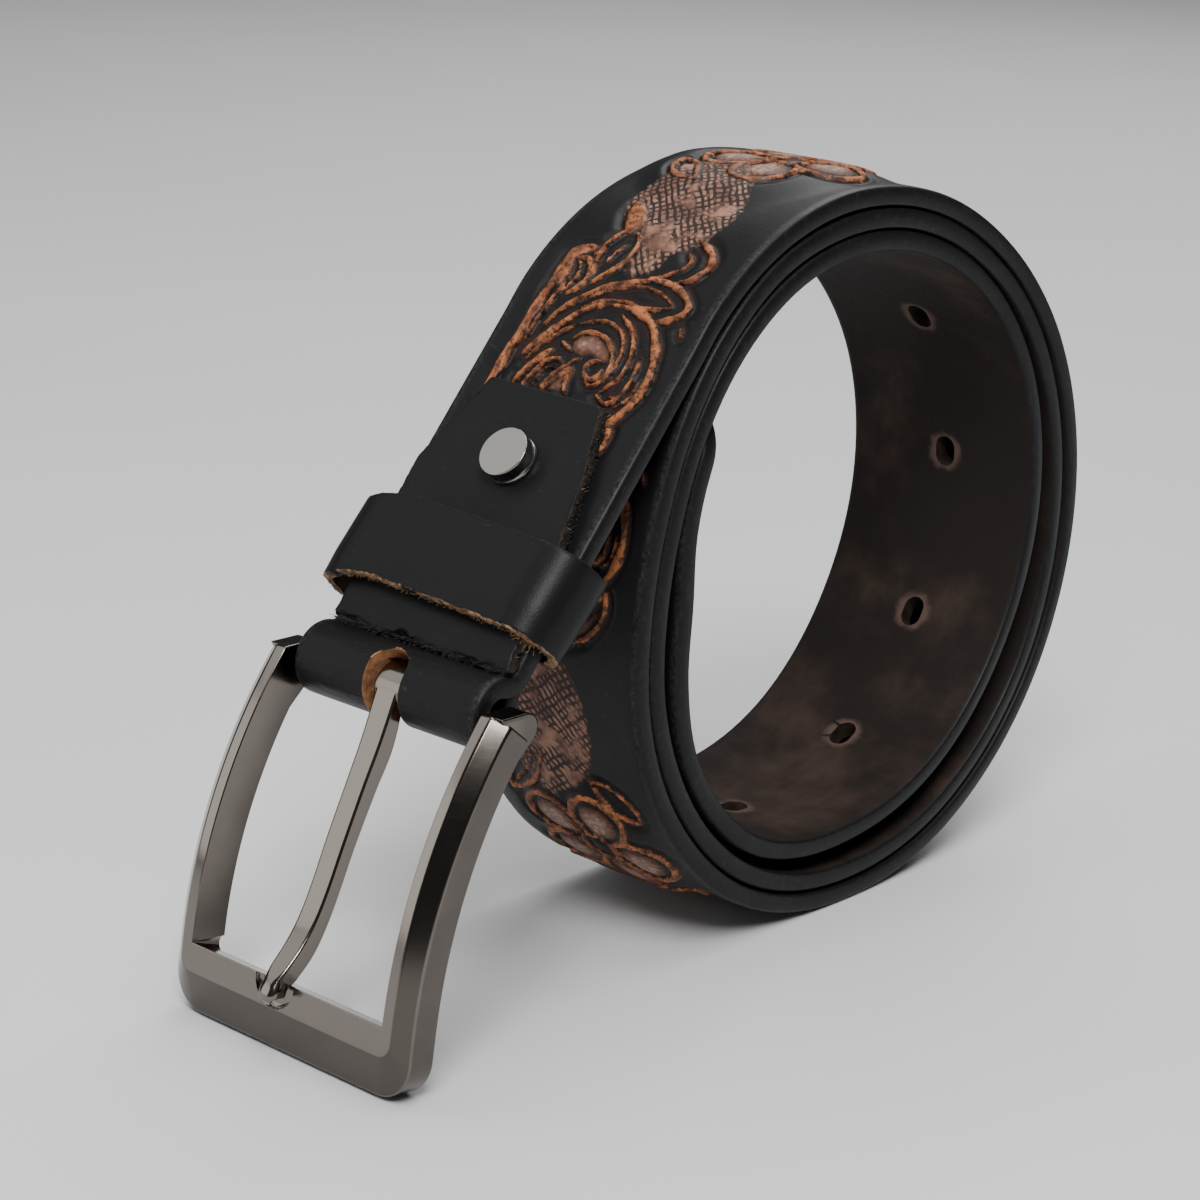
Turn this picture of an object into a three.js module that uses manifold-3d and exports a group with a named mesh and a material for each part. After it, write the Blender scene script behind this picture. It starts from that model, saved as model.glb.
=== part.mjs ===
// A western leather belt, coiled and standing on the edge of its coil, with the
// buckle end led out and down to one side so that the buckle stands on its rail.
// Millimetres, Z up. X runs across the strap, the buckle is at the -Y end, and
// the floor is z = 0.
import * as THREE from 'three';
import { mergeVertices } from 'three/addons/utils/BufferGeometryUtils.js';
import Module from 'manifold-3d';

const wasm = await Module();
wasm.setup();

const DEG = Math.PI / 180;
const FIT_GAP = 0.3;
const WELD = 1e-5;
const ROUND_SIDES = 24;
const ARC_STEPS = 12;

// How far a cutting shape runs past the faces that it cuts.
const CUT_REACH = 12;

// The strap is a little wider on its -X side, apart from the end at the buckle.
const STRAP_RIGHT = 19;
const STRAP_LEFT = 20.3;
const FOLD_LEFT = 19;
const STRAP_THICK = 3.2;

// The coil, wound clockwise seen from +X, starting where the lead meets it.
const COIL_Y = 27.07;
const COIL_Z = 61.4;
const STATION_STEP = 7.5;
const COIL_START = -50;
const COIL_NEXT = -45;
const TIP_START = 1016.5;
const TIP_END = 1031.5;
const TIP_STEPS = [0.35, 0.6, 0.78, 0.9, 0.97, 0.995];

// Outer radius of the strap on its way in from the lead, by clock angle.
const COIL_LEAD_IN = [
  { clock: -50, radius: 63.8 },
  { clock: -45, radius: 64.1 },
  { clock: -30, radius: 63.9 },
  { clock: -15, radius: 62.8 },
];

// Outer radius of each of the three turns, by clock angle from the top.
const COIL_TURNS = [
  { clock: 0, outer: 61.2, middle: 57.6, inner: 54.0 },
  { clock: 15, outer: 59.9, middle: 56.4, inner: 52.8 },
  { clock: 30, outer: 59.2, middle: 55.6, inner: 52.0 },
  { clock: 45, outer: 59.4, middle: 55.7, inner: 51.4 },
  { clock: 60, outer: 60.2, middle: 56.0, inner: 51.0 },
  { clock: 90, outer: 61.8, middle: 57.0, inner: 50.0 },
  { clock: 120, outer: 62.6, middle: 58.4, inner: 49.2 },
  { clock: 150, outer: 62.4, middle: 58.4, inner: 49.8 },
  { clock: 180, outer: 61.4, middle: 57.6, inner: 50.6 },
  { clock: 195, outer: 61.5, middle: 57.8, inner: 52.0 },
  { clock: 210, outer: 61.6, middle: 58.0, inner: 53.3 },
  { clock: 225, outer: 61.3, middle: 57.7, inner: 53.3 },
  { clock: 240, outer: 60.9, middle: 57.1, inner: 52.6 },
  { clock: 255, outer: 60.0, middle: 56.3, inner: 50.6 },
  { clock: 270, outer: 58.6, middle: 55.0, inner: 48.9 },
  { clock: 285, outer: 58.2, middle: 54.6, inner: 50.4 },
  { clock: 300, outer: 58.9, middle: 55.3, inner: 51.6 },
  { clock: 315, outer: 59.7, middle: 56.0, inner: 52.3 },
  { clock: 330, outer: 60.0, middle: 56.1, inner: 0 },
  { clock: 345, outer: 58.9, middle: 55.3, inner: 0 },
];

// Five oval holes near the tip, by path angle.
const SIZE_HOLES = [767, 801.5, 838.5, 872, 910];
const HOLE_WIDTH = 4;
const HOLE_LENGTH = 5.5;
const HOLE_OVERRUN = 0.6;

// The lead, in (v, u): u up along it from the bar axis, v outward off its face.
const LEAD_ANGLE = 50;
const LEAD_OFFSET = 62.3;
const LEAD_LENGTH = 63.4;
const LEAD_MID = -0.1;
const LEAD_FULL = 34;

// The return end behind the lead, narrowing away from the fold round the bar.
const FLAP_MID = LEAD_MID - STRAP_THICK - FIT_GAP;
const FLAP_END = 46.5;
const FLAP_END_HALF = 12;
const FLAP_START = 10;
const FLAP_START_HALF = 14.9;
const FOLD_BACK_HALF = 16.6;
const FOLD_INNER = 2.6;
const FOLD_STEP = 22.5;
const FOLD_TOP = 66.2;
const NECK_RADIUS = 3.0;
const NECK_V = LEAD_MID + NECK_RADIUS;
const NECK_U = 6.59;
const NECK_STEPS = [1, 0.67, 0.33, 0];

// Slot in the fold for the tongue.
const SLOT_HALF = 3.75;
const SLOT_TOP = 3.4;
const EYE_ROOM = 4.25;
const EYE_ROOM_HALF = 3.1;

// Cover tab on the face of the lead, lying slightly askew.
const TAB_BACK = 1.8;
const TAB_THICK = 2;
const TAB_OUTLINE = [
  { x: -17.6, u: 7.2 },
  { x: 18.9, u: 6.9 },
  { x: 17.7, u: 12.6 },
  { x: 16.0, u: 26 },
  { x: 13.3, u: 39 },
  { x: 10.2, u: 49.4 },
  { x: -13.2, u: 50.0 },
  { x: -15.4, u: 43 },
  { x: -18.6, u: 34 },
];

// Rivet through tab, lead and return end.
const RIVET_X = -0.3;
const RIVET_U = 37.2;
const RIVET_HOLE = 1.6;
const POST_RADIUS = 1.3;
const CAP_RADIUS = 4.25;
const CAP_HEIGHT = 2.8;
const CAP_CHAMFER = 0.3;
const CAP_FLANGE = 0.5;
const CAP_SLOPE = 0.2;
const CAP_NECK = 3.9;
const BURR_RADIUS = 3.5;
const BURR_THICK = 1;
const POST_PROUD = 0.4;

// Keeper loop round the lead, the return end and the tab. Its middle line runs
// close to the right edge of the strap and stands well off the left edge.
const KEEPER_LOW = 12.6;
const KEEPER_WIDTH = 13.6;
const KEEPER_LEATHER = 2.2;
const KEEPER_SKEW = 2.5;
const KEEPER_PIVOT_X = -2;
const KEEPER_LINE = [
  { x: 20.8, v: 2.2 },
  { x: 20.3, v: 4.2 },
  { x: 18.8, v: 5.3 },
  { x: 16.5, v: 5.6 },
  { x: -21.6, v: 5.6 },
  { x: -22.9, v: 5.1 },
  { x: -23.4, v: 3.9 },
  { x: -23.4, v: -4.6 },
  { x: -22.8, v: -6.0 },
  { x: -21.3, v: -6.6 },
  { x: 15.0, v: -6.6 },
  { x: 17.1, v: -6.1 },
  { x: 20.4, v: -2.6 },
  { x: 20.8, v: -1.6 },
];

// Buckle frame, bowed about an axis behind it, all from the bar axis. The bar
// hangs a little forward and down in the fold.
const BAR_SHIFT = 0.57;
const BAR_RADIUS = 1.5;
const BAR_HALF = 22.9;
const BORE_RADIUS = BAR_RADIUS + FIT_GAP;
const BOW_Y = 61.2;
const BOW_Z = -50.7;
const BOW_RADIUS = 85.3;
const BOW_TOP = 141.1;
const WINDOW_LENGTH = 47.5;
const WINDOW_HALF = 20.4;
const FRAME_DEPTH = 6.8;
const RIM_DEPTH = 2;
const LEG_FLAT = 2;
const LEG_WIDTH = 4.6;
const RAIL_FLAT = 4.6;
const RAIL_WIDTH = 11.25;
const RAIL_SLOPE = 2.6;
const RIDGE_CORNER = 2.5;
const OUTER_CORNER = 6;
const LEG_STATIONS = 10;
const CORNER_STATIONS = 9;
const RAIL_INSETS = [1.6, 5, 12];
const LUG_RADIUS = 2.6;
const LUG_WIDTH = 3.9;
const LUG_FRONT = { w: 0.8, d: 2.2 };
const LUG_BACK = { w: 8.5, d: 6.7 };
const LUG_ARC = { from: -50, to: 87 };

// Recess in the rail where the end of the tongue rests.
const NOTCH_X = -1.9;
const NOTCH_HALF = 3.9;
const NOTCH_DOWN = 4.4;
const NOTCH_DEPTH = 0.9;

// Tongue: front line down from the bar axis, with its depth and width.
const EYE_OUTER = 3.9;
const EYE_HALF = 2.7;
const TONGUE_X = -0.3;
const TONGUE_SECTIONS = [
  { y: -3.6, z: 1.2, depth: 2.0, width: 4.4 },
  { y: -6.8, z: -6.4, depth: 3.2, width: 4.2 },
  { y: -9.8, z: -12.6, depth: 3.0, width: 4.0 },
  { y: -13.4, z: -20.2, depth: 2.7, width: 4.0 },
  { y: -16.4, z: -26.9, depth: 2.7, width: 3.9 },
  { y: -18.8, z: -31.4, depth: 2.9, width: 3.8 },
  { y: -21.2, z: -34.6, depth: 3.2, width: 3.7 },
  { y: -23.9, z: -37.2, depth: 3.3, width: 3.5 },
  { y: -25.8, z: -39.2, depth: 3.1, width: 3.1 },
  { y: -26.7, z: -41.0, depth: 2.5, width: 2.5 },
  { y: -26.7, z: -42.3, depth: 1.7, width: 1.4 },
];
const TONGUE_BEVEL = 0.8;
const BEVEL_OF_HALF = 0.6;
const EDGE_OF_DEPTH = 0.4;

const LEAD_ALONG = { y: Math.cos(LEAD_ANGLE * DEG), z: Math.sin(LEAD_ANGLE * DEG) };
const LEAD_OUT = { y: -LEAD_ALONG.z, z: LEAD_ALONG.y };
const FOLD_Y = COIL_Y + LEAD_OFFSET * LEAD_OUT.y - LEAD_LENGTH * LEAD_ALONG.y;
const FOLD_Z = COIL_Z + LEAD_OFFSET * LEAD_OUT.z - LEAD_LENGTH * LEAD_ALONG.z;
const BAR_Y = FOLD_Y - BAR_SHIFT;
const BAR_Z = FOLD_Z - BAR_SHIFT;

const leather = (color) =>
  new THREE.MeshStandardMaterial({ color, roughness: 0.6, metalness: 0 });
const metal = (color, roughness) =>
  new THREE.MeshStandardMaterial({ color, roughness, metalness: 1 });

const strapLeather = leather(0x1c1512);
const plainLeather = leather(0x17130f);
const gunmetal = metal(0x8f8a83, 0.3);
const nickel = metal(0xc9c6c0, 0.25);

function signedVolume(points, faces) {
  let total = 0;
  for (const [a, b, c] of faces) {
    total += points[a].dot(points[b].clone().cross(points[c])) / 6;
  }
  return total;
}

function solidFrom(points, faces) {
  const facingOut = signedVolume(points, faces) > 0;
  const geometry = new THREE.BufferGeometry();
  const flat = points.flatMap((p) => [p.x, p.y, p.z]);
  const index = faces.flatMap(([a, b, c]) => (facingOut ? [a, b, c] : [a, c, b]));
  geometry.setAttribute('position', new THREE.Float32BufferAttribute(flat, 3));
  geometry.setIndex(index);
  return geometry;
}

// A closed body through a row of rings that all have the same number of points.
function loft(rings) {
  const size = rings[0].length;
  const faces = [];
  for (let k = 0; k < rings.length - 1; k += 1) {
    for (let i = 0; i < size; i += 1) {
      const j = (i + 1) % size;
      const a = k * size + i;
      const b = k * size + j;
      faces.push([a, b, b + size], [a, b + size, a + size]);
    }
  }
  const last = (rings.length - 1) * size;
  for (let i = 1; i < size - 1; i += 1) {
    faces.push([0, i + 1, i]);
    faces.push([last, last + i, last + i + 1]);
  }
  return solidFrom(rings.flat(), faces);
}

function toManifold(geometry) {
  const bare = geometry.clone();
  bare.deleteAttribute('normal');
  bare.deleteAttribute('uv');
  const merged = mergeVertices(bare, WELD);
  return new wasm.Manifold(new wasm.Mesh({
    numProp: 3,
    vertProperties: new Float32Array(merged.attributes.position.array),
    triVerts: new Uint32Array(merged.index.array),
  }));
}

function fromManifold(manifold) {
  const mesh = manifold.getMesh();
  const geometry = new THREE.BufferGeometry();
  geometry.setAttribute('position', new THREE.BufferAttribute(mesh.vertProperties, 3));
  geometry.setIndex(new THREE.BufferAttribute(mesh.triVerts, 1));
  return geometry;
}

function cut(geometry, cutters) {
  let body = toManifold(geometry);
  for (const cutter of cutters) {
    body = body.subtract(toManifold(cutter));
  }
  return fromManifold(body);
}

function join(geometries) {
  let body = toManifold(geometries[0]);
  for (const geometry of geometries.slice(1)) {
    body = body.add(toManifold(geometry));
  }
  return fromManifold(body);
}

function node(name, geometry, material) {
  const mesh = new THREE.Mesh(geometry, material);
  mesh.name = name;
  return mesh;
}

// Puts geometry drawn with x across, y up the lead and z off its face in place.
function ontoLead(geometry) {
  const frame = new THREE.Matrix4().makeBasis(
    new THREE.Vector3(1, 0, 0),
    new THREE.Vector3(0, LEAD_ALONG.y, LEAD_ALONG.z),
    new THREE.Vector3(0, LEAD_OUT.y, LEAD_OUT.z),
  );
  frame.setPosition(0, FOLD_Y, FOLD_Z);
  return geometry.applyMatrix4(frame);
}

function leadPoint(v, u) {
  return {
    y: FOLD_Y + v * LEAD_OUT.y + u * LEAD_ALONG.y,
    z: FOLD_Z + v * LEAD_OUT.z + u * LEAD_ALONG.z,
  };
}

function strapRing(mid, normal, left, right) {
  const t = STRAP_THICK / 2;
  const corner = (x, side) =>
    new THREE.Vector3(x, mid.y + side * t * normal.y, mid.z + side * t * normal.z);
  return [corner(-left, 1), corner(right, 1), corner(right, -1), corner(-left, -1)];
}

function coilRadiusTable() {
  const knots = COIL_LEAD_IN.map((row) => [row.clock, row.radius]);
  ['outer', 'middle', 'inner'].forEach((turn, count) => {
    for (const row of COIL_TURNS) {
      if (row[turn] > 0) {
        knots.push([row.clock + 360 * count, row[turn]]);
      }
    }
  });
  return knots;
}

const knots = coilRadiusTable();
const coilCurve = new THREE.CubicInterpolant(
  knots.map((knot) => knot[0]),
  knots.map((knot) => knot[1]),
  1,
);
const outerRadius = (angle) => coilCurve.evaluate(angle)[0];

function coilRing(angle, left, right) {
  const normal = { y: Math.sin(angle * DEG), z: Math.cos(angle * DEG) };
  const r = outerRadius(angle) - STRAP_THICK / 2;
  const mid = { y: COIL_Y + r * normal.y, z: COIL_Z + r * normal.z };
  return strapRing(mid, normal, left, right);
}

function coilRings() {
  const rings = [coilRing(COIL_START, STRAP_LEFT, STRAP_RIGHT)];
  for (let angle = COIL_NEXT; angle < TIP_START; angle += STATION_STEP) {
    rings.push(coilRing(angle, STRAP_LEFT, STRAP_RIGHT));
  }
  const middle = (STRAP_RIGHT - STRAP_LEFT) / 2;
  for (const step of [0, ...TIP_STEPS]) {
    const at = TIP_START + (TIP_END - TIP_START) * step;
    const half = (STRAP_RIGHT - middle) * Math.sqrt(1 - step * step);
    rings.push(coilRing(at, half - middle, half + middle));
  }
  return rings;
}

function turnRing(v, u, turn, left, right) {
  const c = Math.cos(turn * DEG);
  const s = Math.sin(turn * DEG);
  const normal = {
    y: c * LEAD_OUT.y + s * LEAD_ALONG.y,
    z: c * LEAD_OUT.z + s * LEAD_ALONG.z,
  };
  return strapRing(leadPoint(v, u), normal, left, right);
}

function foldRings() {
  const radius = FOLD_INNER + STRAP_THICK / 2;
  const rings = [
    turnRing(FLAP_MID, FLAP_END, 180, FLAP_END_HALF, FLAP_END_HALF),
    turnRing(FLAP_MID, FLAP_START, 180, FLAP_START_HALF, FLAP_START_HALF),
  ];
  for (let turn = 180; turn < 360 + FOLD_TOP; turn += FOLD_STEP) {
    const back = Math.max(0, (270 - turn) / 90) * (FOLD_LEFT - FOLD_BACK_HALF);
    const v = radius * Math.cos(turn * DEG);
    const u = radius * Math.sin(turn * DEG);
    rings.push(turnRing(v, u, turn, FOLD_LEFT - back, STRAP_RIGHT - back));
  }
  for (const turn of NECK_STEPS.map((step) => FOLD_TOP * step)) {
    const v = NECK_V - NECK_RADIUS * Math.cos(turn * DEG);
    const u = NECK_U - NECK_RADIUS * Math.sin(turn * DEG);
    rings.push(turnRing(v, u, turn, FOLD_LEFT, STRAP_RIGHT));
  }
  rings.push(turnRing(LEAD_MID, LEAD_FULL, 0, STRAP_LEFT, STRAP_RIGHT));
  return rings;
}

function roundPrism(radius, length) {
  return new THREE.CylinderGeometry(radius, radius, length, ROUND_SIDES);
}

function slotCutter() {
  const shape = new THREE.Shape();
  const centre = SLOT_TOP - SLOT_HALF;
  shape.moveTo(-SLOT_HALF, -CUT_REACH);
  shape.lineTo(SLOT_HALF, -CUT_REACH);
  shape.absarc(0, centre, SLOT_HALF, 0, Math.PI, false);
  const prism = new THREE.ExtrudeGeometry(shape, {
    depth: 2 * CUT_REACH, bevelEnabled: false, curveSegments: ARC_STEPS,
  });
  prism.translate(TONGUE_X, 0, -CUT_REACH);
  return ontoLead(prism);
}

function eyeRoomCutter() {
  const prism = roundPrism(EYE_ROOM, 2 * EYE_ROOM_HALF);
  prism.rotateZ(Math.PI / 2);
  prism.translate(TONGUE_X, BAR_Y, BAR_Z);
  return prism;
}

function rivetHoleCutter() {
  const prism = roundPrism(RIVET_HOLE, 2 * CUT_REACH);
  prism.rotateX(Math.PI / 2);
  prism.translate(RIVET_X, RIVET_U, 0);
  return ontoLead(prism);
}

function sizeHoleCutter(angle) {
  const shape = new THREE.Shape();
  const straight = (HOLE_LENGTH - HOLE_WIDTH) / 2;
  shape.absarc(straight, 0, HOLE_WIDTH / 2, -Math.PI / 2, Math.PI / 2, false);
  shape.absarc(-straight, 0, HOLE_WIDTH / 2, Math.PI / 2, 1.5 * Math.PI, false);
  const prism = new THREE.ExtrudeGeometry(shape, {
    depth: STRAP_THICK + 2 * HOLE_OVERRUN, bevelEnabled: false, curveSegments: 8,
  });
  const normal = new THREE.Vector3(0, Math.sin(angle * DEG), Math.cos(angle * DEG));
  const along = new THREE.Vector3(0, normal.z, -normal.y);
  const across = new THREE.Vector3().crossVectors(normal, along);
  const inner = outerRadius(angle) - STRAP_THICK - HOLE_OVERRUN;
  const place = new THREE.Matrix4().makeBasis(along, across, normal);
  place.setPosition(0, COIL_Y + inner * normal.y, COIL_Z + inner * normal.z);
  return prism.applyMatrix4(place);
}

function strap() {
  const body = loft([...foldRings(), ...coilRings()]);
  return cut(body, [
    slotCutter(),
    eyeRoomCutter(),
    rivetHoleCutter(),
    ...SIZE_HOLES.map(sizeHoleCutter),
  ]);
}

function coverTab() {
  const shape = new THREE.Shape(TAB_OUTLINE.map((p) => new THREE.Vector2(p.x, p.u)));
  const hole = new THREE.Path();
  hole.absarc(RIVET_X, RIVET_U, RIVET_HOLE, 0, 2 * Math.PI, true);
  shape.holes.push(hole);
  const plate = new THREE.ExtrudeGeometry(shape, {
    depth: TAB_THICK, bevelEnabled: false, curveSegments: ARC_STEPS,
  });
  plate.translate(0, 0, TAB_BACK);
  return ontoLead(plate);
}

// The keeper's middle line moved sideways by an offset, as a closed outline.
function keeperOutline(target, offset) {
  const line = KEEPER_LINE;
  line.forEach((at, k) => {
    const before = line[(k + line.length - 1) % line.length];
    const after = line[(k + 1) % line.length];
    const first = Math.atan2(at.v - before.v, at.x - before.x);
    const second = Math.atan2(after.v - at.v, after.x - at.x);
    const turn = Math.atan2(Math.sin(second - first), Math.cos(second - first));
    const out = first + turn / 2 - Math.PI / 2;
    const reach = offset / Math.cos(turn / 2);
    const x = at.x + reach * Math.cos(out);
    const v = at.v + reach * Math.sin(out);
    if (k === 0) {
      target.moveTo(x, v);
    } else {
      target.lineTo(x, v);
    }
  });
  return target;
}

function keeperLoop() {
  const t = KEEPER_LEATHER / 2;
  const shape = keeperOutline(new THREE.Shape(), t);
  shape.holes.push(keeperOutline(new THREE.Path(), -t));
  const loop = new THREE.ExtrudeGeometry(shape, {
    depth: KEEPER_WIDTH, bevelEnabled: false,
  });
  loop.translate(-KEEPER_PIVOT_X, 0, -KEEPER_WIDTH / 2);
  loop.rotateX(Math.PI / 2);
  loop.rotateZ(-KEEPER_SKEW * DEG);
  loop.translate(KEEPER_PIVOT_X, KEEPER_LOW + KEEPER_WIDTH / 2, 0);
  return ontoLead(loop);
}

function latheOnRivet(profile) {
  const body = new THREE.LatheGeometry(
    profile.map(([radius, v]) => new THREE.Vector2(radius, v)),
    ROUND_SIDES,
  );
  body.rotateX(Math.PI / 2);
  body.translate(RIVET_X, RIVET_U, 0);
  return ontoLead(body);
}

const CAP_BASE = TAB_BACK + TAB_THICK + FIT_GAP;
const BURR_TOP = FLAP_MID - STRAP_THICK / 2 - FIT_GAP;

function rivetCap() {
  const top = CAP_BASE + CAP_HEIGHT;
  return latheOnRivet([
    [0, BURR_TOP - BURR_THICK - POST_PROUD],
    [POST_RADIUS, BURR_TOP - BURR_THICK - POST_PROUD],
    [POST_RADIUS, CAP_BASE],
    [CAP_RADIUS, CAP_BASE],
    [CAP_RADIUS, CAP_BASE + CAP_FLANGE],
    [CAP_NECK, CAP_BASE + CAP_FLANGE + CAP_SLOPE],
    [CAP_RADIUS, top - CAP_CHAMFER],
    [CAP_RADIUS - CAP_CHAMFER, top],
    [0, top],
  ]);
}

function rivetBack() {
  return latheOnRivet([
    [RIVET_HOLE, BURR_TOP - BURR_THICK],
    [BURR_RADIUS, BURR_TOP - BURR_THICK],
    [BURR_RADIUS, BURR_TOP],
    [RIVET_HOLE, BURR_TOP],
    [RIVET_HOLE, BURR_TOP - BURR_THICK],
  ]);
}

// From the frame drawn flat (x across, w down its face, d into it) to the bow.
function bowPoint(x, w, d) {
  const bent = Math.min(w, WINDOW_LENGTH);
  const turn = BOW_TOP * DEG + bent / BOW_RADIUS;
  const r = BOW_RADIUS - d;
  const straight = w - bent;
  return new THREE.Vector3(
    x,
    BAR_Y + BOW_Y + r * Math.cos(turn) - straight * Math.sin(turn),
    BAR_Z + BOW_Z + r * Math.sin(turn) + straight * Math.cos(turn),
  );
}

// Distance from a sharp inner corner to a rounded outer one, in direction beta.
function cornerReach(beta, across, down, radius) {
  const c = Math.cos(beta);
  const s = Math.sin(beta);
  if (s * across <= c * (down - radius)) {
    return across / c;
  }
  const cx = across - radius;
  const cy = down - radius;
  const along = cx * c + cy * s;
  return along + Math.sqrt(radius * radius - cx * cx - cy * cy + along * along);
}

function frameRing(x, w, beta, flat, width, slope) {
  const side = Math.cos(beta);
  const down = Math.sin(beta);
  const at = (o, d) => bowPoint(x + o * side, w + o * down, d);
  return [
    at(0, 0),
    at(flat, 0),
    at(width, RIM_DEPTH),
    at(width, FRAME_DEPTH),
    at(slope, FRAME_DEPTH),
  ];
}

function halfFrameRings() {
  const rings = [];
  for (let k = 0; k < LEG_STATIONS; k += 1) {
    const w = (WINDOW_LENGTH * k) / LEG_STATIONS;
    rings.push(frameRing(WINDOW_HALF, w, 0, LEG_FLAT, LEG_WIDTH, 0));
  }
  for (let k = 0; k <= CORNER_STATIONS; k += 1) {
    const beta = (Math.PI / 2) * (k / CORNER_STATIONS);
    const flat = cornerReach(beta, LEG_FLAT, RAIL_FLAT, RIDGE_CORNER);
    const width = cornerReach(beta, LEG_WIDTH, RAIL_WIDTH, OUTER_CORNER);
    const slope = RAIL_SLOPE * Math.sin(beta) ** 2;
    rings.push(frameRing(WINDOW_HALF, WINDOW_LENGTH, beta, flat, width, slope));
  }
  for (const inset of RAIL_INSETS) {
    rings.push(frameRing(
      WINDOW_HALF - inset, WINDOW_LENGTH, Math.PI / 2, RAIL_FLAT, RAIL_WIDTH, RAIL_SLOPE,
    ));
  }
  return rings;
}

function mirrored(ring) {
  return ring.map((p) => new THREE.Vector3(-p.x, p.y, p.z));
}

function lug() {
  const corner = bowPoint(0, 0, 0);
  const inFront = bowPoint(0, LUG_FRONT.w, LUG_FRONT.d);
  const inBack = bowPoint(0, LUG_BACK.w, LUG_BACK.d);
  const shape = new THREE.Shape();
  shape.moveTo(corner.y - BAR_Y, corner.z - BAR_Z);
  shape.lineTo(inFront.y - BAR_Y, inFront.z - BAR_Z);
  shape.lineTo(inBack.y - BAR_Y, inBack.z - BAR_Z);
  shape.absarc(0, 0, LUG_RADIUS, LUG_ARC.from * DEG, LUG_ARC.to * DEG, false);
  const plate = new THREE.ExtrudeGeometry(shape, {
    depth: LUG_WIDTH, bevelEnabled: false, curveSegments: ARC_STEPS,
  });
  const place = new THREE.Matrix4().makeBasis(
    new THREE.Vector3(0, 1, 0),
    new THREE.Vector3(0, 0, 1),
    new THREE.Vector3(1, 0, 0),
  );
  place.setPosition(WINDOW_HALF, BAR_Y, BAR_Z);
  return plate.applyMatrix4(place);
}

// Takes the outer front edge of the lug back in line with the bevel of the leg.
function lugBevelCutter() {
  const run = LEG_WIDTH - LEG_FLAT;
  const shape = new THREE.Shape();
  shape.moveTo(WINDOW_HALF + LEG_FLAT, 0);
  shape.lineTo(WINDOW_HALF + LEG_FLAT + 2 * run, -2 * RIM_DEPTH);
  shape.lineTo(WINDOW_HALF + LEG_FLAT + 2 * run, CUT_REACH);
  shape.lineTo(WINDOW_HALF + LEG_FLAT, CUT_REACH);
  const prism = new THREE.ExtrudeGeometry(shape, {
    depth: 2 * CUT_REACH, bevelEnabled: false,
  });
  const out = new THREE.Vector3(0, Math.cos(BOW_TOP * DEG), Math.sin(BOW_TOP * DEG));
  const across = new THREE.Vector3(1, 0, 0);
  const place = new THREE.Matrix4().makeBasis(across, out, across.clone().cross(out));
  const corner = bowPoint(0, 0, 0);
  place.setPosition(0, corner.y, corner.z);
  prism.translate(0, 0, -CUT_REACH);
  return prism.applyMatrix4(place);
}

function flipX(geometry) {
  const flipped = mergeVertices(geometry, WELD);
  const position = flipped.attributes.position;
  const points = [];
  for (let i = 0; i < position.count; i += 1) {
    points.push(new THREE.Vector3(-position.getX(i), position.getY(i), position.getZ(i)));
  }
  const index = flipped.index.array;
  const faces = [];
  for (let i = 0; i < index.length; i += 3) {
    faces.push([index[i], index[i + 1], index[i + 2]]);
  }
  return solidFrom(points, faces);
}

function boreCutter() {
  const prism = roundPrism(BORE_RADIUS, 2 * (BAR_HALF + FIT_GAP));
  prism.rotateZ(Math.PI / 2);
  prism.translate(0, BAR_Y, BAR_Z);
  return prism;
}

function notchCutter() {
  const shape = new THREE.Shape();
  const bottom = NOTCH_DOWN - NOTCH_HALF;
  shape.moveTo(-NOTCH_HALF, CUT_REACH);
  shape.lineTo(-NOTCH_HALF, -bottom);
  shape.absarc(0, -bottom, NOTCH_HALF, Math.PI, 2 * Math.PI, false);
  shape.lineTo(NOTCH_HALF, CUT_REACH);
  const prism = new THREE.ExtrudeGeometry(shape, {
    depth: CUT_REACH + NOTCH_DEPTH, bevelEnabled: false, curveSegments: ARC_STEPS,
  });
  prism.translate(NOTCH_X, 0, -NOTCH_DEPTH);
  const edge = bowPoint(0, WINDOW_LENGTH, 0);
  const below = bowPoint(0, WINDOW_LENGTH + 1, 0);
  const up = edge.clone().sub(below).normalize();
  const across = new THREE.Vector3(1, 0, 0);
  const place = new THREE.Matrix4().makeBasis(across, up, across.clone().cross(up));
  place.setPosition(0, edge.y, edge.z);
  return prism.applyMatrix4(place);
}

function buckleFrame() {
  const half = halfFrameRings();
  const other = [...half].reverse().map(mirrored);
  const right = cut(lug(), [lugBevelCutter()]);
  const body = join([loft([...half, ...other]), right, flipX(right)]);
  return cut(body, [boreCutter(), notchCutter()]);
}

function buckleBar() {
  const bar = roundPrism(BAR_RADIUS, 2 * BAR_HALF);
  bar.rotateZ(Math.PI / 2);
  bar.translate(0, BAR_Y, BAR_Z);
  return bar;
}

function tongueRing(row, direction) {
  const back = { y: -direction.z, z: direction.y };
  const half = row.width / 2;
  const bevel = Math.min(TONGUE_BEVEL, half * BEVEL_OF_HALF);
  const at = (x, d) => new THREE.Vector3(
    TONGUE_X + x, BAR_Y + row.y + d * back.y, BAR_Z + row.z + d * back.z,
  );
  const edge = Math.min(bevel, row.depth * EDGE_OF_DEPTH);
  return [
    at(-half + bevel, 0),
    at(half - bevel, 0),
    at(half, edge),
    at(half, row.depth - edge),
    at(half - bevel, row.depth),
    at(-half + bevel, row.depth),
    at(-half, row.depth - edge),
    at(-half, edge),
  ];
}

function tongueStem() {
  const rows = TONGUE_SECTIONS;
  return loft(rows.map((row, k) => {
    const before = rows[Math.max(k - 1, 0)];
    const after = rows[Math.min(k + 1, rows.length - 1)];
    const length = Math.hypot(after.y - before.y, after.z - before.z);
    return tongueRing(row, {
      y: (after.y - before.y) / length,
      z: (after.z - before.z) / length,
    });
  }));
}

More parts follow.
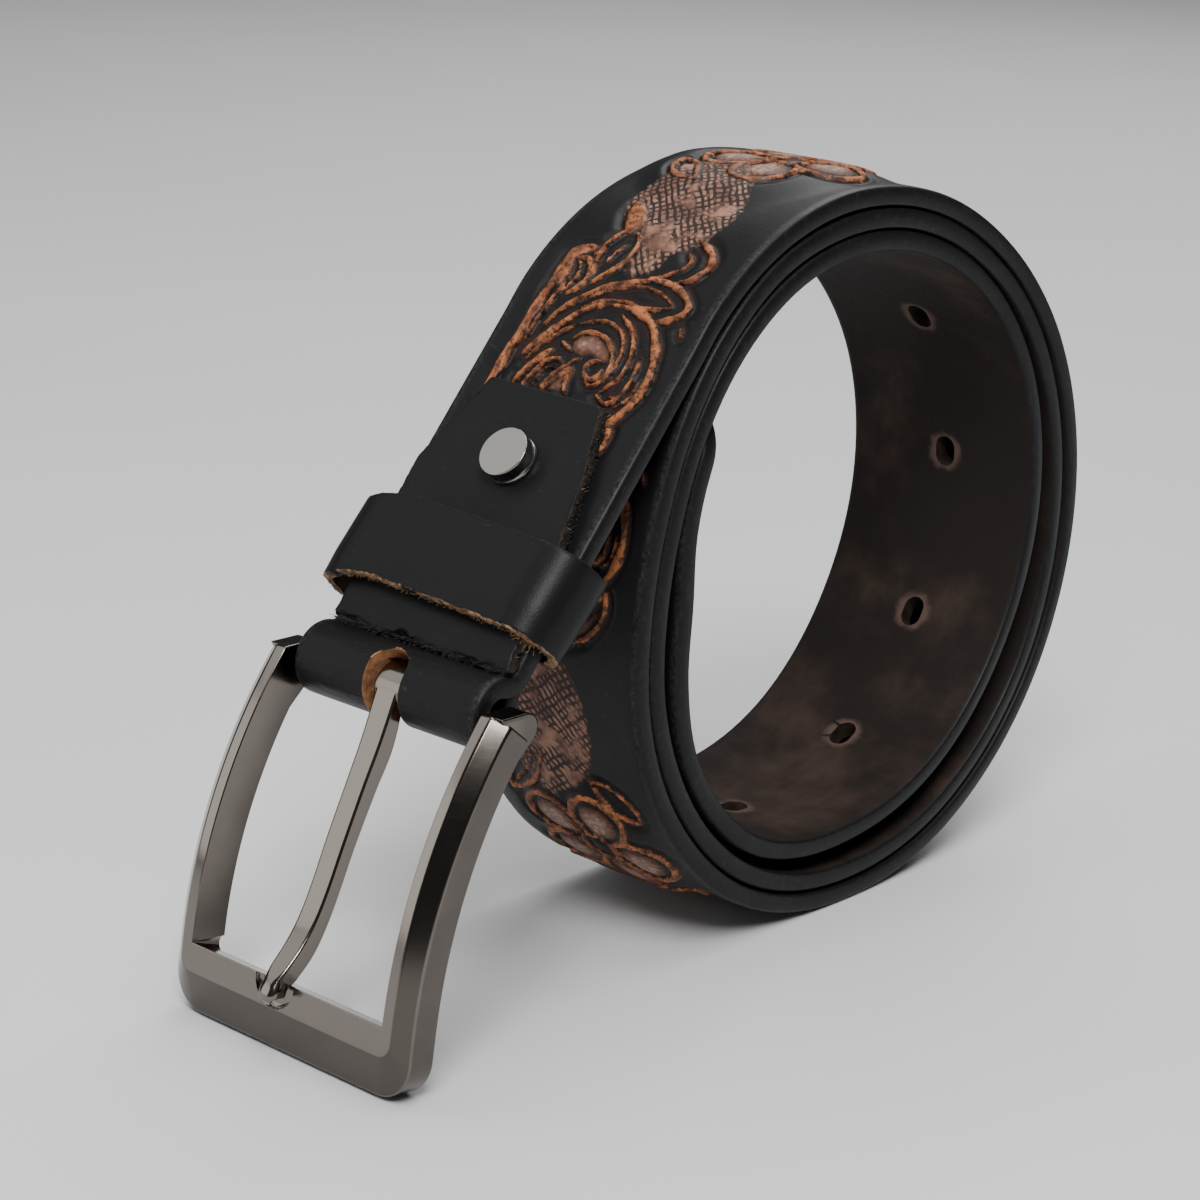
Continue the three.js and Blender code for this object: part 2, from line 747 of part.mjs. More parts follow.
function tongue() {
  const eye = roundPrism(EYE_OUTER, 2 * EYE_HALF);
  eye.rotateZ(Math.PI / 2);
  eye.translate(TONGUE_X, BAR_Y, BAR_Z);
  return cut(join([tongueStem(), eye]), [boreCutter()]);
}

const belt = new THREE.Group();
belt.name = 'western_belt';
belt.add(node('strap', strap(), strapLeather));
belt.add(node('cover_tab', coverTab(), plainLeather));
belt.add(node('keeper_loop', keeperLoop(), plainLeather));
belt.add(node('rivet_cap', rivetCap(), nickel));
belt.add(node('rivet_back', rivetBack(), nickel));
belt.add(node('buckle_frame', buckleFrame(), gunmetal));
belt.add(node('buckle_bar', buckleBar(), gunmetal));
belt.add(node('tongue', tongue(), gunmetal));

export default belt;
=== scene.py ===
"""Looks of a coiled western leather belt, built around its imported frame."""

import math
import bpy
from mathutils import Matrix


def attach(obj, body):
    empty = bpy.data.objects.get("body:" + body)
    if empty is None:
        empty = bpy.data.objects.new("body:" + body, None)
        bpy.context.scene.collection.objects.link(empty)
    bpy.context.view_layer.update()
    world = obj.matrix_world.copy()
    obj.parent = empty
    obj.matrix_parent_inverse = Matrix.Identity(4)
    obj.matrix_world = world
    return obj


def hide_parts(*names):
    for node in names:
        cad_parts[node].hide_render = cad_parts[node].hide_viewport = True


bl_info = {
    "name": "Western belt",
    "version": (1, 0, 0),
    "blender": (4, 5, 0),
    "location": "3D View > Sidebar > Belt",
    "description": "Tooled strap, cover tab, keeper loop, rivet and buckle of a coiled belt",
    "category": "Object",
}

import bpy
import numpy as np
from mathutils.kdtree import KDTree
from mathutils import Matrix, Vector

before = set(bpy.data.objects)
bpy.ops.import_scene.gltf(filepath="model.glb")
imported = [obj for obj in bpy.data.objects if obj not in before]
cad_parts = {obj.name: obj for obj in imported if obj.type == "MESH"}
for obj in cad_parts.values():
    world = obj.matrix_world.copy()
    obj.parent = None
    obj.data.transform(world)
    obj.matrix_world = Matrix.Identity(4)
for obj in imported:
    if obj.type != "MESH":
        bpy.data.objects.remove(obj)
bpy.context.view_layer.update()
MM = 0.001

# The coil: centre, and outer radius of each turn by clock angle from the top.
COIL_Y = 27.07
COIL_Z = 61.4
COIL_START = -50
TIP_START = 1016.5
TIP_END = 1031.5
COIL_LEAD_IN = ((-50, 63.8), (-45, 64.1), (-30, 63.9), (-15, 62.8))
COIL_TURNS = (
    (0, 61.2, 57.6, 54.0), (15, 59.9, 56.4, 52.8), (30, 59.2, 55.6, 52.0),
    (45, 59.4, 55.7, 51.4), (60, 60.2, 56.0, 51.0), (90, 61.8, 57.0, 50.0),
    (120, 62.6, 58.4, 49.2), (150, 62.4, 58.4, 49.8), (180, 61.4, 57.6, 50.6),
    (195, 61.5, 57.8, 52.0), (210, 61.6, 58.0, 53.3), (225, 61.3, 57.7, 53.3),
    (240, 60.9, 57.1, 52.6), (255, 60.0, 56.3, 50.6), (270, 58.6, 55.0, 48.9),
    (285, 58.2, 54.6, 50.4), (300, 58.9, 55.3, 51.6), (315, 59.7, 56.0, 52.3),
    (330, 60.0, 56.1, 0), (345, 58.9, 55.3, 0),
)
SIZE_HOLES = (767, 801.5, 838.5, 872, 910)
HOLE_WIDTH = 4
HOLE_LENGTH = 5.5
HOLE_OVERRUN = 0.8

# The strap and the lead, in (v, u): u up along it from the fold, v off its face.
STRAP_THICK = 3.2
STRAP_RIGHT = 19
STRAP_LEFT = 20.3
STRAP_MID = (STRAP_RIGHT - STRAP_LEFT) / 2
STRAP_HALF = (STRAP_RIGHT + STRAP_LEFT) / 2
# Ends of its flat face and of its flat back across it, and the rounding beside each.
STRAP_FACE = (-18.3, 17.0)
STRAP_BACK = (17.6, -18.9)
STRAP_ROUNDING = (0.8, 0.5)
# The lead's slope and place, the return end as (u, v, half width), the fold and the neck.
LEAD_ANGLE = math.radians(50)
LEAD_OFFSET = 62.3
LEAD_LENGTH = 63.4
LEAD_MID = -0.1
LEAD_FULL = 34
FLAP = ((46.5, -3.6, 12), (10, -3.6, 14.9), (0, -4.2, 16.6))
FOLD_RADIUS = 4.2
FOLD_HALF = 19
FOLD_TOP = 66.2
NECK_RADIUS = 3
NECK_V = 2.9
NECK_U = 6.59
BAR_SHIFT = 0.57

ALONG = (math.cos(LEAD_ANGLE), math.sin(LEAD_ANGLE))
OUT = (-ALONG[1], ALONG[0])
DOWN = -np.array([0, *ALONG])
FOLD_Y = COIL_Y + LEAD_OFFSET * OUT[0] - LEAD_LENGTH * ALONG[0]
FOLD_Z = COIL_Z + LEAD_OFFSET * OUT[1] - LEAD_LENGTH * ALONG[1]
BAR_Y = FOLD_Y - BAR_SHIFT
BAR_Z = FOLD_Z - BAR_SHIFT

# Slot and rivet. The rivet's profiles are radius and height: the post and the burr from the
# burr's inner face, the cap from the face of the tab. The gap is between burr and return end.
SLOT_HALF = 3.75
SLOT_TOP = 3.4
SLOT_BOTTOM = -12
SLOT_REACH = 12
EYE_ROOM = 4.25
EYE_ROOM_HALF = 3.1
TONGUE_X = -0.3
RIVET_X = -0.3
RIVET_U = 37.2
RIVET_HOLE = 1.6
RIVET_REACH = 8
RIVET_POST = ((0, -1.4), (1.1, -1.4), (1.3, -1.2))
RIVET_CAP = ((1.3, 0), (4.1, 0), (4.3, 0.15), (4.3, 0.5), (4.15, 0.68), (3.98, 0.9), (3.98, 1.1),
             (4.08, 1.8), (4.18, 2.5), (4.2, 2.8), (4.14, 3.0), (4.02, 3.1), (0, 3.1))
RIVET_BURR = ((1.6, -1), (3.2, -1), (3.5, -0.75), (3.5, -0.1), (3.4, 0), (1.6, 0))
BURR_GAP = 0.3

# Steps along the strap, and the fine part of its outer face, where the tooling is. The part
# that the photograph shows best has the closer steps.
FLAP_STATION = 3
FOLD_SPAN = (-15, 7.4)
FOLD_STATION = 0.36
COIL_STATION = 2.5
TOOLED = (30, 466)
TOOLED_LEFT = -16.4
TOOLED_RIGHT = 15.6
COLUMNS = 13
FINE_PER_COLUMN = 6
FINE_PER_STATION = 4
CLOSE_END = 152
CLOSE_STATION = 1.36
WIDE_STATION = 2.4

# Tooling. A line is a half width and the points that it runs through; an area is a
# closed outline. Both are in millimetres along and across from the motif's start.
SCROLL_LINES = (
    (0.72, ((-4.2, 8.6), (-1.4, 11.0), (1.4, 12.6), (4.6, 13.4), (8.6, 12.9), (12.8, 11.0),
            (15.6, 8.4), (16.9, 5.2), (17.4, 1.6))),
    (0.42, ((17.4, 1.8), (16.6, -2.8), (14.2, -6.4), (11.0, -8.8), (8.0, -10.4))),
    (0.22, ((0.6, 9.9), (2.2, 11.4), (4.2, 12.0), (6.4, 12.0))),
    (0.36, ((9.7, 9.8), (6.8, 10.4), (4.0, 10.4), (1.9, 9.6), (1.0, 7.8), (1.9, 5.7))),
    (0.38, ((1.9, 5.7), (3.8, 6.9), (5.8, 8.1), (8.2, 8.3), (11.2, 7.5), (13.8, 5.7), (16.0, 2.3))),
    (0.26, ((2.8, 10.2), (2.2, 9.2), (2.3, 7.9))),
    (0.30, ((5.0, 6.1), (8.8, 6.2), (12.0, 5.0), (13.9, 2.4), (14.3, -0.8), (12.9, -4.8))),
    (0.42, ((3.8, 2.2), (3.2, 3.5), (4.2, 5.1), (6.4, 5.6), (9.2, 4.6), (11.3, 2.2), (12.1, -0.4),
            (11.7, -2.8), (10.4, -4.5))),
    (0.44, ((7.6, 3.4), (7.5, 2.0), (6.3, 1.0), (4.9, 1.4), (4.3, 2.7), (5.0, 4.0), (6.4, 4.2))),
    (0.36, ((8.3, -3.3), (8.9, -4.8), (9.5, -6.0))),
    (0.40, ((1.0, -0.3), (2.9, -1.3), (5.4, -1.5), (3.8, -2.9), (1.0, -4.9))),
    (0.32, ((7.6, -0.9), (6.0, -2.4), (4.2, -4.0), (1.0, -5.6))),
    (0.36, ((5.9, -3.6), (6.5, -5.1), (5.8, -6.8), (3.9, -7.9), (1.0, -9.0))),
    (0.26, ((4.9, -4.6), (4.6, -6.0), (2.8, -6.9), (0.8, -7.2))),
    (0.58, ((0.8, -10.9), (3.6, -9.8), (6.0, -8.4), (7.8, -7.1))),
    (0.36, ((5.4, -11.0), (8.4, -9.2), (11.0, -7.1), (12.8, -5.1))),
    (0.58, ((5.9, -12.1), (9.0, -10.4), (12.0, -8.3), (14.2, -6.0))),
    (0.50, ((10.7, -11.4), (14.2, -9.8), (17.2, -7.0), (19.9, -3.6), (21.4, -0.4), (22.8, 4.2))),
    (0.60, ((22.8, 4.2), (22.9, 7.2), (22.0, 10.2), (20.6, 12.4), (18.9, 13.7), (17.2, 12.2),
            (15.8, 9.0))),
    (0.30, ((19.0, 10.8), (18.1, 8.4), (17.8, 5.0), (18.1, 1.6), (17.6, -2.2), (15.6, -6.0))),
    (0.26, ((19.4, 10.2), (20.8, 7.2), (21.4, 3.8), (20.8, 0.4), (19.2, -3.2), (16.4, -6.6))),
    (0.58, ((23.2, 8.6), (24.6, 11.0), (27.2, 12.1), (29.8, 11.0), (31.4, 8.6), (32.4, 6.6))),
    (0.32, ((23.8, 4.8), (24.9, 6.8), (26.3, 8.1), (27.8, 8.2), (29.4, 6.6))),
    (0.46, ((20.0, -6.9), (22.4, -5.1), (24.6, -3.6), (27.4, -3.2), (30.0, -3.9), (31.4, -5.4))),
    (0.44, ((21.4, -7.5), (24.4, -8.5), (27.4, -9.2), (30.2, -8.4), (33.4, -6.4))),
    (0.30, ((24.5, -6.6), (26.6, -6.1), (28.7, -5.4))),
    (0.88, ((-10, -14.6), (-2, -15.1), (6, -15.0), (13, -14.5), (19, -14.0), (24.4, -14.4))),
    (0.34, ((8.5, -13.2), (13.2, -12.9), (17.2, -12.0), (20.4, -11.5))),
    (0.50, ((17.5, -10.4), (18.6, -8.9), (20.8, -8.1), (23.2, -8.9), (24.4, -10.6), (24.2, -12.2))),
    (0.24, ((18.2, -10.9), (20.6, -10.2), (23.0, -10.9), (23.8, -12.2))),
    (0.34, ((25.4, -9.8), (26.9, -10.8), (26.6, -12.8), (25.0, -14.8))),
    (0.30, ((14.4, 14.9), (15.9, 14.2))),
    (0.44, ((-4.4, 8.4), (-6.0, 5.0), (-6.2, 1.0), (-4.6, -3.0), (-2.0, -6.4), (1.0, -9.0))),
    (0.34, ((-3.4, 6.2), (-4.4, 3.2), (-4.0, 0.0), (-2.2, -2.8), (0.6, -4.8))),
    (0.46, ((-12.6, 4.2), (-10.2, 8.8), (-6.4, 11.6), (-3.2, 11.4), (-5.2, 9.4), (-8.4, 5.8),
            (-12.6, 4.2))),
    (0.46, ((-13.0, -3.4), (-11.6, -8.0), (-8.0, -11.4), (-4.4, -11.6), (-6.2, -8.4),
            (-9.4, -5.0), (-13.0, -3.4))),
)
SCROLL_COPPER = (
    ((31.2, -6.6), (33.4, -5.5), (36.0, -7.0), (38.2, -9.6), (38.6, -11.2), (35.6, -10.9),
     (33.0, -9.4), (31.6, -8.2)),
    ((18.6, -12.6), (21.4, -11.7), (23.6, -12.9), (26.2, -10.6), (26.5, -12.9), (25.0, -14.9),
     (19.0, -14.4)),
    ((22.2, 3.0), (23.4, 3.2), (23.9, 5.2), (22.6, 5.4)),
)
SCROLL_MATTE = (
    ((7.9, 4.4), (9.6, 3.5), (11.0, 1.6), (11.6, -0.6), (11.1, -2.8), (9.7, -3.9), (8.5, -3.2),
     (8.0, -1.4), (8.4, 0.6), (7.9, 2.4)),
    ((1.2, -1.3), (2.8, -2.0), (4.2, -2.1), (2.8, -3.0), (1.2, -3.9)),
    ((-11.2, 5.6), (-9.2, 8.6), (-6.2, 10.4), (-8.8, 7.2)),
    ((-11.6, -4.8), (-10.2, -7.8), (-7.0, -10.4), (-9.0, -7.0)),
)
SCROLL_WEAVE = (
    ((27.2, 3.4), (30.2, 5.4), (33.2, 7.7), (39, 8.3), (44.4, 6.6), (50, 3.2), (55.6, -1.8),
     (58.6, -6.2), (55.6, -8.8), (50, -11.2), (44, -12.3), (38.4, -12.7), (35.4, -11.2),
     (33.8, -9.6), (33.2, -6.6), (30.6, -4.4), (27, -2.8), (23.4, -2.4), (23.2, 0), (25.2, 3.2)),
)
# A flower. Its outlines are distance from the middle and degrees off the petal's axis.
BLOOM_PETALS = 5
BLOOM_PETAL = ((3.6, -34), (7.6, -36), (11.2, -27), (13.6, -15), (14.3, 0), (13.6, 15),
               (11.2, 27), (7.6, 36), (3.6, 34))
BLOOM_LENS = ((4.8, -14), (7.8, -24), (10.4, -20), (12.1, -11), (12.6, 0), (12.1, 11), (10.4, 20),
              (7.8, 24), (4.8, 14))
BLOOM_VEIN = ((3.9, 8), (5.6, 9), (7.0, 12))
BLOOM_HEART = 3.3
BLOOM_SHIFT = (0, 0.4)
BLOOM_SQUEEZE = 0.97
FIRST_PETAL = 97
PETAL_HALF = 0.62
HEART_HALF = 0.42
VEIN_HALF = 0.26
BLOOM_LEAVES = (
    (0.50, ((-20, 4), (-18.4, 9), (-14.6, 12.6), (-11.2, 12.8), (-12.0, 9.4), (-15.4, 5.6),
            (-20, 4))),
    (0.28, ((-18, 6), (-15.2, 8.8), (-12.6, 11.2))),
    (0.50, ((19.4, -4), (17.8, -9.6), (14.0, -13.0), (10.8, -13.4), (11.8, -10.0), (15, -6),
            (19.4, -4))),
    (0.28, ((17.4, -6.4), (14.8, -9.2), (12.2, -11.8))),
    (0.46, ((17.2, 5), (16.4, 10), (13.0, 13.2), (10.2, 13.0), (11.6, 9.4), (17.2, 5))),
    (0.46, ((-17.4, -5), (-16.4, -10), (-13.0, -13.2), (-10.4, -13.0), (-11.6, -9.2), (-17.4, -5))),
)
# Where each motif starts along the strap; a bloom or a weave alone is given by its middle.
# A left bloom has leaves on its left side only.
TOOLING = (
    ("scroll", 50), ("left_bloom", 113), ("weave", 142), ("scroll", 169), ("bloom", 237.5),
    ("weave", 263.5), ("scroll", 291), ("bloom", 350), ("weave", 376), ("scroll", 403.5),
)
WEAVE_OUTLINE = ((-13, -3), (-9, 4), (-2, 7.6), (6, 7.4), (12, 3.6), (14, -2), (10, -8), (2, -11.6),
                 (-6, -11.4), (-11, -8))
# The swelling under a flower, from the flower's start, and half its size. Then how a tooled
# line narrows at its ends and wavers, as shares of its half width.
SWELL_PLACE = (-2, -3)
SWELL_SIZE = (23, 20)
LINE_TIP = 0.35
LINE_TAPER = 4.5
LINE_WAVER = 0.16
# Distances in mm over which the tooling rises or falls, measured from its lines and outlines.
CARVE_FALL = (1.7, 0.45)
RIDGE_FALL = (0.26, -0.3)
WEAVE_EDGE = (-1.2, 0.3)
WEAVE_MARGIN = 0.35
LENS_EDGE = (0.5, -0.7)
LENS_DISH = (-2.4, 0)
LENS_RISE = 0.1
LENS_DEPTH = 0.12
COPPER_FALL = 0.8
SWELL_EDGE = (1.04, 0.62)
# A place farther from a shape than the first counts as the second.
LOOK_WITHIN = 3
FAR_OFF = 4.0

# Cover tab: corner points of its sides, as (u, across).
TAB_BACK = 1.8
TAB_THICK = 2
TAB_LEFT = ((7.2, -17.6), (34, -18.6), (43, -15.4), (50, -13.2))
TAB_RIGHT = ((6.9, 18.9), (12.6, 17.7), (26, 16), (39, 13.3), (49.4, 10.2))
TAB_LOW = 6.1
TAB_HIGH = 50
TAB_HALF = 18
TAB_FLAT = 17.4
TAB_ROUNDING = (0.5, 0.4)

# Keeper loop: its middle line in (across, v), and the frayed corner in the same. Its left end
# hangs a little lower.
KEEPER_LOW = 12.0
KEEPER_WIDTH = 14.2
KEEPER_LEATHER = 2.2
KEEPER_SKEW = 2.5
KEEPER_PIVOT_X = -2
KEEPER_DROOP = 2.0
KEEPER_SAG = (-12, -23.5)
KEEPER_FLAT = KEEPER_WIDTH / 2 - 0.7
KEEPER_ROUNDING = (0.45, 0.35)
KEEPER_LINE = (
    (20.8, -1.6), (20.8, 0.6), (20.4, 2.6), (19.0, 4.5), (16.6, 5.5), (13.0, 5.8), (-2.0, 5.9),
    (-16.6, 5.7), (-20.4, 4.9), (-22.5, 3.1), (-23.3, 0.6), (-23.3, -3.0), (-22.6, -5.3),
    (-20.6, -6.5), (-16.0, -6.6), (15.0, -6.6), (17.1, -6.1), (20.0, -3.4),
)
KEEPER_CORNER = ((18.3, 4.6), (19.6, 2.8), (19.0, 1.2), (18.4, 3.4), (17.6, 4.4))

# Buckle: the bow of the frame, its sections and the tongue, from the bar axis. The flare of the
# recess is how much wider it is and how high off the face; a section of the tongue is its
# place in (y, z), depth and width.
BAR_RADIUS = 1.5
BAR_HALF = 22.9
BORE_RADIUS = 1.8
BOW_Y = 61.2
BOW_Z = -50.7
BOW_RADIUS = 85.3
BOW_TOP = math.radians(141.1)
WINDOW_LENGTH = 47.5
WINDOW_HALF = 20.4
FRAME_DEPTH = 6.8
RIM_DEPTH = 2
FRAME_EDGES = (0.22, 0.32, 0.4, 0.3, 0.3)
# Polish at the four points of each edge: inner, ridge, rim, and the two at the back. Low polish darkens
# the plating: partly rubbed wear, partly painted shade on the outer chamfer in place of its darker
# reflection.
FRAME_POLISH_AND_SHADE = [0.9, 1, 1, 1] + [1, 1, 0.3, 0.25] + [0.25, 0.7, 0.7, 0.45] + [0.45] * 8
# How far down each leg, and how much smaller, the sections at its end are.
LEG_END = ((0, 0.5), (0.12, 0.22), (0.35, 0.06), (0.7, 0))
LEG_FLAT = 2
LEG_WIDTH = 4.6
RAIL_FLAT = 4.6
RAIL_WIDTH = 11.25
RAIL_SLOPE = 2.6
RIDGE_CORNER = 2.5
OUTER_CORNER = 6
LUG_RADIUS = 2.6
LUG_WIDTH = 3.9
LUG_CORNER = (0.15, 0.15)
LUG_FRONT = (0.8, 2.2)
LUG_BACK = (8.5, 6.7)
LUG_ARC = (-50, 87)
NOTCH_X = -1.9
NOTCH_HALF = 3.9
NOTCH_DOWN = 4.4
NOTCH_TOP = 12
NOTCH_FLARE = ((-0.75, -0.9), (-0.3, -0.78), (0, -0.48), (0.16, 0), (0.25, 4))
EYE_OUTER = 3.9
EYE_HALF = 2.7
# Rounding of the tongue's edges: along the blade, and how much it grows towards the tip.
TONGUE_EASE = 0.5
TIP_EASE = 0.8
TIP_SPAN = (-37.5, -40)
TONGUE_SECTIONS = (
    (-3.6, 1.2, 2.0, 4.4), (-6.8, -6.4, 3.2, 4.2), (-9.8, -12.6, 3.0, 4.0),
    (-13.4, -20.2, 2.7, 4.0), (-16.4, -26.9, 2.7, 3.9), (-18.8, -31.4, 2.9, 3.8),
    (-21.2, -34.6, 3.2, 3.7), (-23.9, -37.2, 3.2, 3.5), (-25.7, -38.9, 3.0, 3.3),
    (-26.7, -40.2, 3.1, 3.7), (-27.2, -41.3, 2.8, 3.6), (-27.2, -42.0, 2.2, 3.0),
    (-26.9, -42.5, 1.3, 1.9),
)

# Gloss and tones that no setting changes: wear, painted highlights on the strap's edges and on black
# fibres, gaps in the tooling, floor and sky.
LEATHER_GLOSS = 0.17
PLAIN_SCUFF = (0.075, 0.075, 0.08)
STRAP_SCUFF = (0.07, 0.07, 0.075)
# Painted highlights: on the strap's cut edges, and on the rounded corners beside them.
EDGE_HIGHLIGHT_TONE = (0.035, 0.032, 0.03)
CORNER_HIGHLIGHT_TONE = (0.055, 0.055, 0.058)
COPPER_STAIN = (0.030, 0.012, 0.007)
SEED_DOT = (0.05, 0.02, 0.012)
WEAVE_GAP = (0.026, 0.015, 0.012)
FLESH_STREAK = (0.010, 0.0075, 0.0065)
# Black fibres in a grey tone: a painted highlight on them.
BLACK_FIBRE_HIGHLIGHT = (0.055, 0.052, 0.050)
FLOOR_TONES = ((0.60, 0.60, 0.61), (0.66, 0.66, 0.67))
FLOOR_HALF = 6000
SKY_TONE = (0.78, 0.79, 0.8)

# Square lights: setting that holds the power, place, target and side, in metres.
LIGHTS = (
    ("left", (-0.56, -0.37, 0.66), (0, 0, 0.06), 0.5),
    ("low", (-0.62, -0.76, 0.27), (0, -0.05, 0.04), 0.48),
    ("key", (0.40, -0.50, 0.80), (0, 0, 0.06), 0.4),
    ("top", (0.10, 0.15, 1.25), (0, 0, 0), 0.9),
    ("back", (-0.45, 1.1, 1.2), (-0.3, 0.6, 0), 1.0),
)

# Angles in degrees above which an edge is kept sharp or is rounded off.
STRAP_SHARP = 50
TURNED_SHARP = 40
METAL_SHARP = 48
ROUNDED_FROM = 35
# How strongly large faces outweigh small ones in the shading of the metal; 50 is even.
SHADING_WEIGHT = 90

# The camera, worked out from the photograph's perspective.
CAMERA_PLACE = (0.2971, -0.36341, 0.19327)
CAMERA_BACK = (0.62612, -0.72574, 0.28511)
CAMERA_ROLL = 2.944
CAMERA_LENS = 90
CAMERA_SENSOR = 36


def unit(degrees):
    """Cosine and sine of an angle in degrees."""
    turn = math.radians(degrees)
    return math.cos(turn), math.sin(turn)


def leaning(c, s):
    """The direction that lies c off the lead's face and s along it, as y and z."""
    return c * OUT[0] + s * ALONG[0], c * OUT[1] + s * ALONG[1]


def lead_point(v, u):
    """The place, as y and z, that lies u up the lead and v off its face."""
    return FOLD_Y + v * OUT[0] + u * ALONG[0], FOLD_Z + v * OUT[1] + u * ALONG[1]


def smooth(low, high, value):
    """A soft step from 0 at low to 1 at high."""
    t = np.clip((value - low) / (high - low), 0, 1)
    return t * t * (3 - 2 * t)


def through(points, step=0.4):
    """Points of a smooth line through the given points, about a step apart."""
    p = np.array(points, float)
    p = np.vstack([2 * p[0] - p[1], p, 2 * p[-1] - p[-2]])
    rows = []
    for a, b, c, d in zip(p, p[1:], p[2:], p[3:]):
        count = max(2, int(np.linalg.norm(c - b) / step))
        t = np.arange(count)[:, None] / count
        rows.append(0.5 * (2 * b + (c - a) * t + (2 * a - 5 * b + 4 * c - d) * t ** 2
                           + (3 * b - a - 3 * c + d) * t ** 3))
    return np.vstack([*rows, p[-2:-1]])


def coil_radius(angle):
    """Outer radius of the strap by path angle, counted on through the turns."""
    knots = list(COIL_LEAD_IN)
    for turn in range(3):
        knots += [(row[0] + 360 * turn, row[turn + 1]) for row in COIL_TURNS if row[turn + 1]]
    at, radius = np.array(knots, float).T
    chord = np.diff(radius) / np.diff(at)
    slope = np.concatenate([chord[:1], (chord[1:] + chord[:-1]) / 2, chord[-1:]])
    k = np.clip(np.searchsorted(at, angle, "right") - 1, 0, len(at) - 2)
    span = at[k + 1] - at[k]
    p = (angle - at[k]) / span
    return ((2 * p ** 3 - 3 * p ** 2 + 1) * radius[k] + (p ** 3 - 2 * p ** 2 + p) * span * slope[k]
            + (3 * p ** 2 - 2 * p ** 3) * radius[k + 1] + (p ** 3 - p ** 2) * span * slope[k + 1])


def strap_path():
    """The strap's middle line, closely spaced: s, y, z, normal y, normal z, left, right."""
    rows = []
    flap_u, flap_v, flap_half = np.transpose(FLAP[::-1])
    for u in np.arange(FLAP[0][0], 0, -0.5):
        half = np.interp(u, flap_u, flap_half)
        rows.append((*lead_point(np.interp(u, flap_u, flap_v), u), -OUT[0], -OUT[1], half, half))
    for turn in np.arange(180, 360 + FOLD_TOP, 2):
        c, s = unit(turn)
        half = FOLD_HALF - max(0, (270 - turn) / 90) * (FOLD_HALF - FLAP[2][2])
        rows.append((*lead_point(FOLD_RADIUS * c, FOLD_RADIUS * s), *leaning(c, s), half, half))
    for turn in np.arange(FOLD_TOP, 0, -2):
        c, s = unit(turn)
        place = lead_point(NECK_V - NECK_RADIUS * c, NECK_U - NECK_RADIUS * s)
        rows.append((*place, *leaning(c, s), FOLD_HALF, FOLD_HALF))
    for u in np.linspace(NECK_U, LEAD_LENGTH, 200)[:-1]:
        left = np.interp(u, [NECK_U, LEAD_FULL], [FOLD_HALF, STRAP_LEFT])
        rows.append((*lead_point(LEAD_MID, u), *OUT, left, STRAP_RIGHT))
    lead_end = len(rows)
    tip = TIP_START + (TIP_END - TIP_START) * np.sin(np.linspace(0, math.pi / 2, 60))[:-1]
    angle = np.concatenate([np.arange(COIL_START, TIP_START, 0.25), tip])
    step = np.clip((angle - TIP_START) / (TIP_END - TIP_START), 0, 0.9995)
    half = STRAP_HALF * np.sqrt(1 - step ** 2)
    n = np.stack([np.sin(np.radians(angle)), np.cos(np.radians(angle))])
    r = coil_radius(angle) - STRAP_THICK / 2
    coil = np.column_stack([COIL_Y + r * n[0], COIL_Z + r * n[1], n[0], n[1],
                            half - STRAP_MID, half + STRAP_MID])
    table = np.vstack([np.array(rows), coil])
    s = np.concatenate([[0], np.cumsum(np.hypot(*np.diff(table[:, :2], axis=0).T))])
    return np.column_stack([s - s[lead_end] + LEAD_LENGTH, table])


PATH = strap_path()


def strap_place(s, w, dx, d):
    """Points in mm for s along the strap, w from -1 to 1 across it, d off its middle."""
    y, z, ny, nz, left, right = (np.interp(s, PATH[:, 0], PATH[:, k]) for k in range(1, 7))
    length = np.hypot(ny, nz)
    x = (right - left) / 2 + w * (right + left) / 2 + dx
    return np.stack([x, y + d * ny / length, z + d * nz / length], axis=-1)


def closed(points):
    """A smooth closed outline through the points."""
    return through([*points, points[0]], 1.5)


def motifs():
    """All tooled lines of the strap, and its copper, matte and woven areas."""
    lines, copper, matte, weave = [], [], [], []
    for motif, start in TOOLING:
        at = np.array([start, 0.0])
        if motif == "scroll":
            lines += [(w, through(at + line)) for w, line in SCROLL_LINES]
            copper += [at + line for line in SCROLL_COPPER]
            matte += [at + line for line in SCROLL_MATTE]
            weave += [closed(at + line) for line in SCROLL_WEAVE]
        if motif == "weave":
            weave.append(closed(at + WEAVE_OUTLINE))
        if "bloom" in motif:
            lines += [(w, through(at + line)) for w, line in BLOOM_LEAVES
                      if motif == "bloom" or np.mean(line, axis=0)[1] < 0]
            petals, lenses = bloom(at + BLOOM_SHIFT)
            lines += petals
            matte += lenses
    return lines, copper, matte, weave


def bloom(centre):
    """A five-petalled flower: outlines with veins, and the raised lens in each petal."""
    lines = [(HEART_HALF, polar(centre, [(BLOOM_HEART, t) for t in range(0, 361, 12)], 0))]
    lenses = []
    for k in range(BLOOM_PETALS):
        turn = FIRST_PETAL + 360 * k / BLOOM_PETALS
        lines.append((PETAL_HALF, through(polar(centre, BLOOM_PETAL, turn))))
        lenses.append(through(polar(centre, [*BLOOM_LENS, BLOOM_LENS[0]], turn)))
        for lean in (-1, 1):
            vein = [(r, lean * t) for r, t in BLOOM_VEIN]
            lines.append((VEIN_HALF, through(polar(centre, vein, turn))))
    return lines, lenses


def polar(centre, points, turn):
    """Points given by distance and degrees; the across direction is drawn in a little."""
    r, t = np.array(points, float).T
    t = np.radians(t + turn)
    return centre + np.stack([r * np.cos(t), BLOOM_SQUEEZE * r * np.sin(t)], axis=1)


def segment_gaps(place, a, b):
    """Distances from each place to each segment, and how far along the segment that is."""
    along = b - a
    length = np.maximum((along ** 2).sum(1), 1e-9)
    t = np.clip(np.einsum("psk,sk->ps", place[:, None] - a[None], along) / length, 0, 1)
    gap = np.linalg.norm(place[:, None] - a[None] - t[..., None] * along[None], axis=2)
    return gap, t


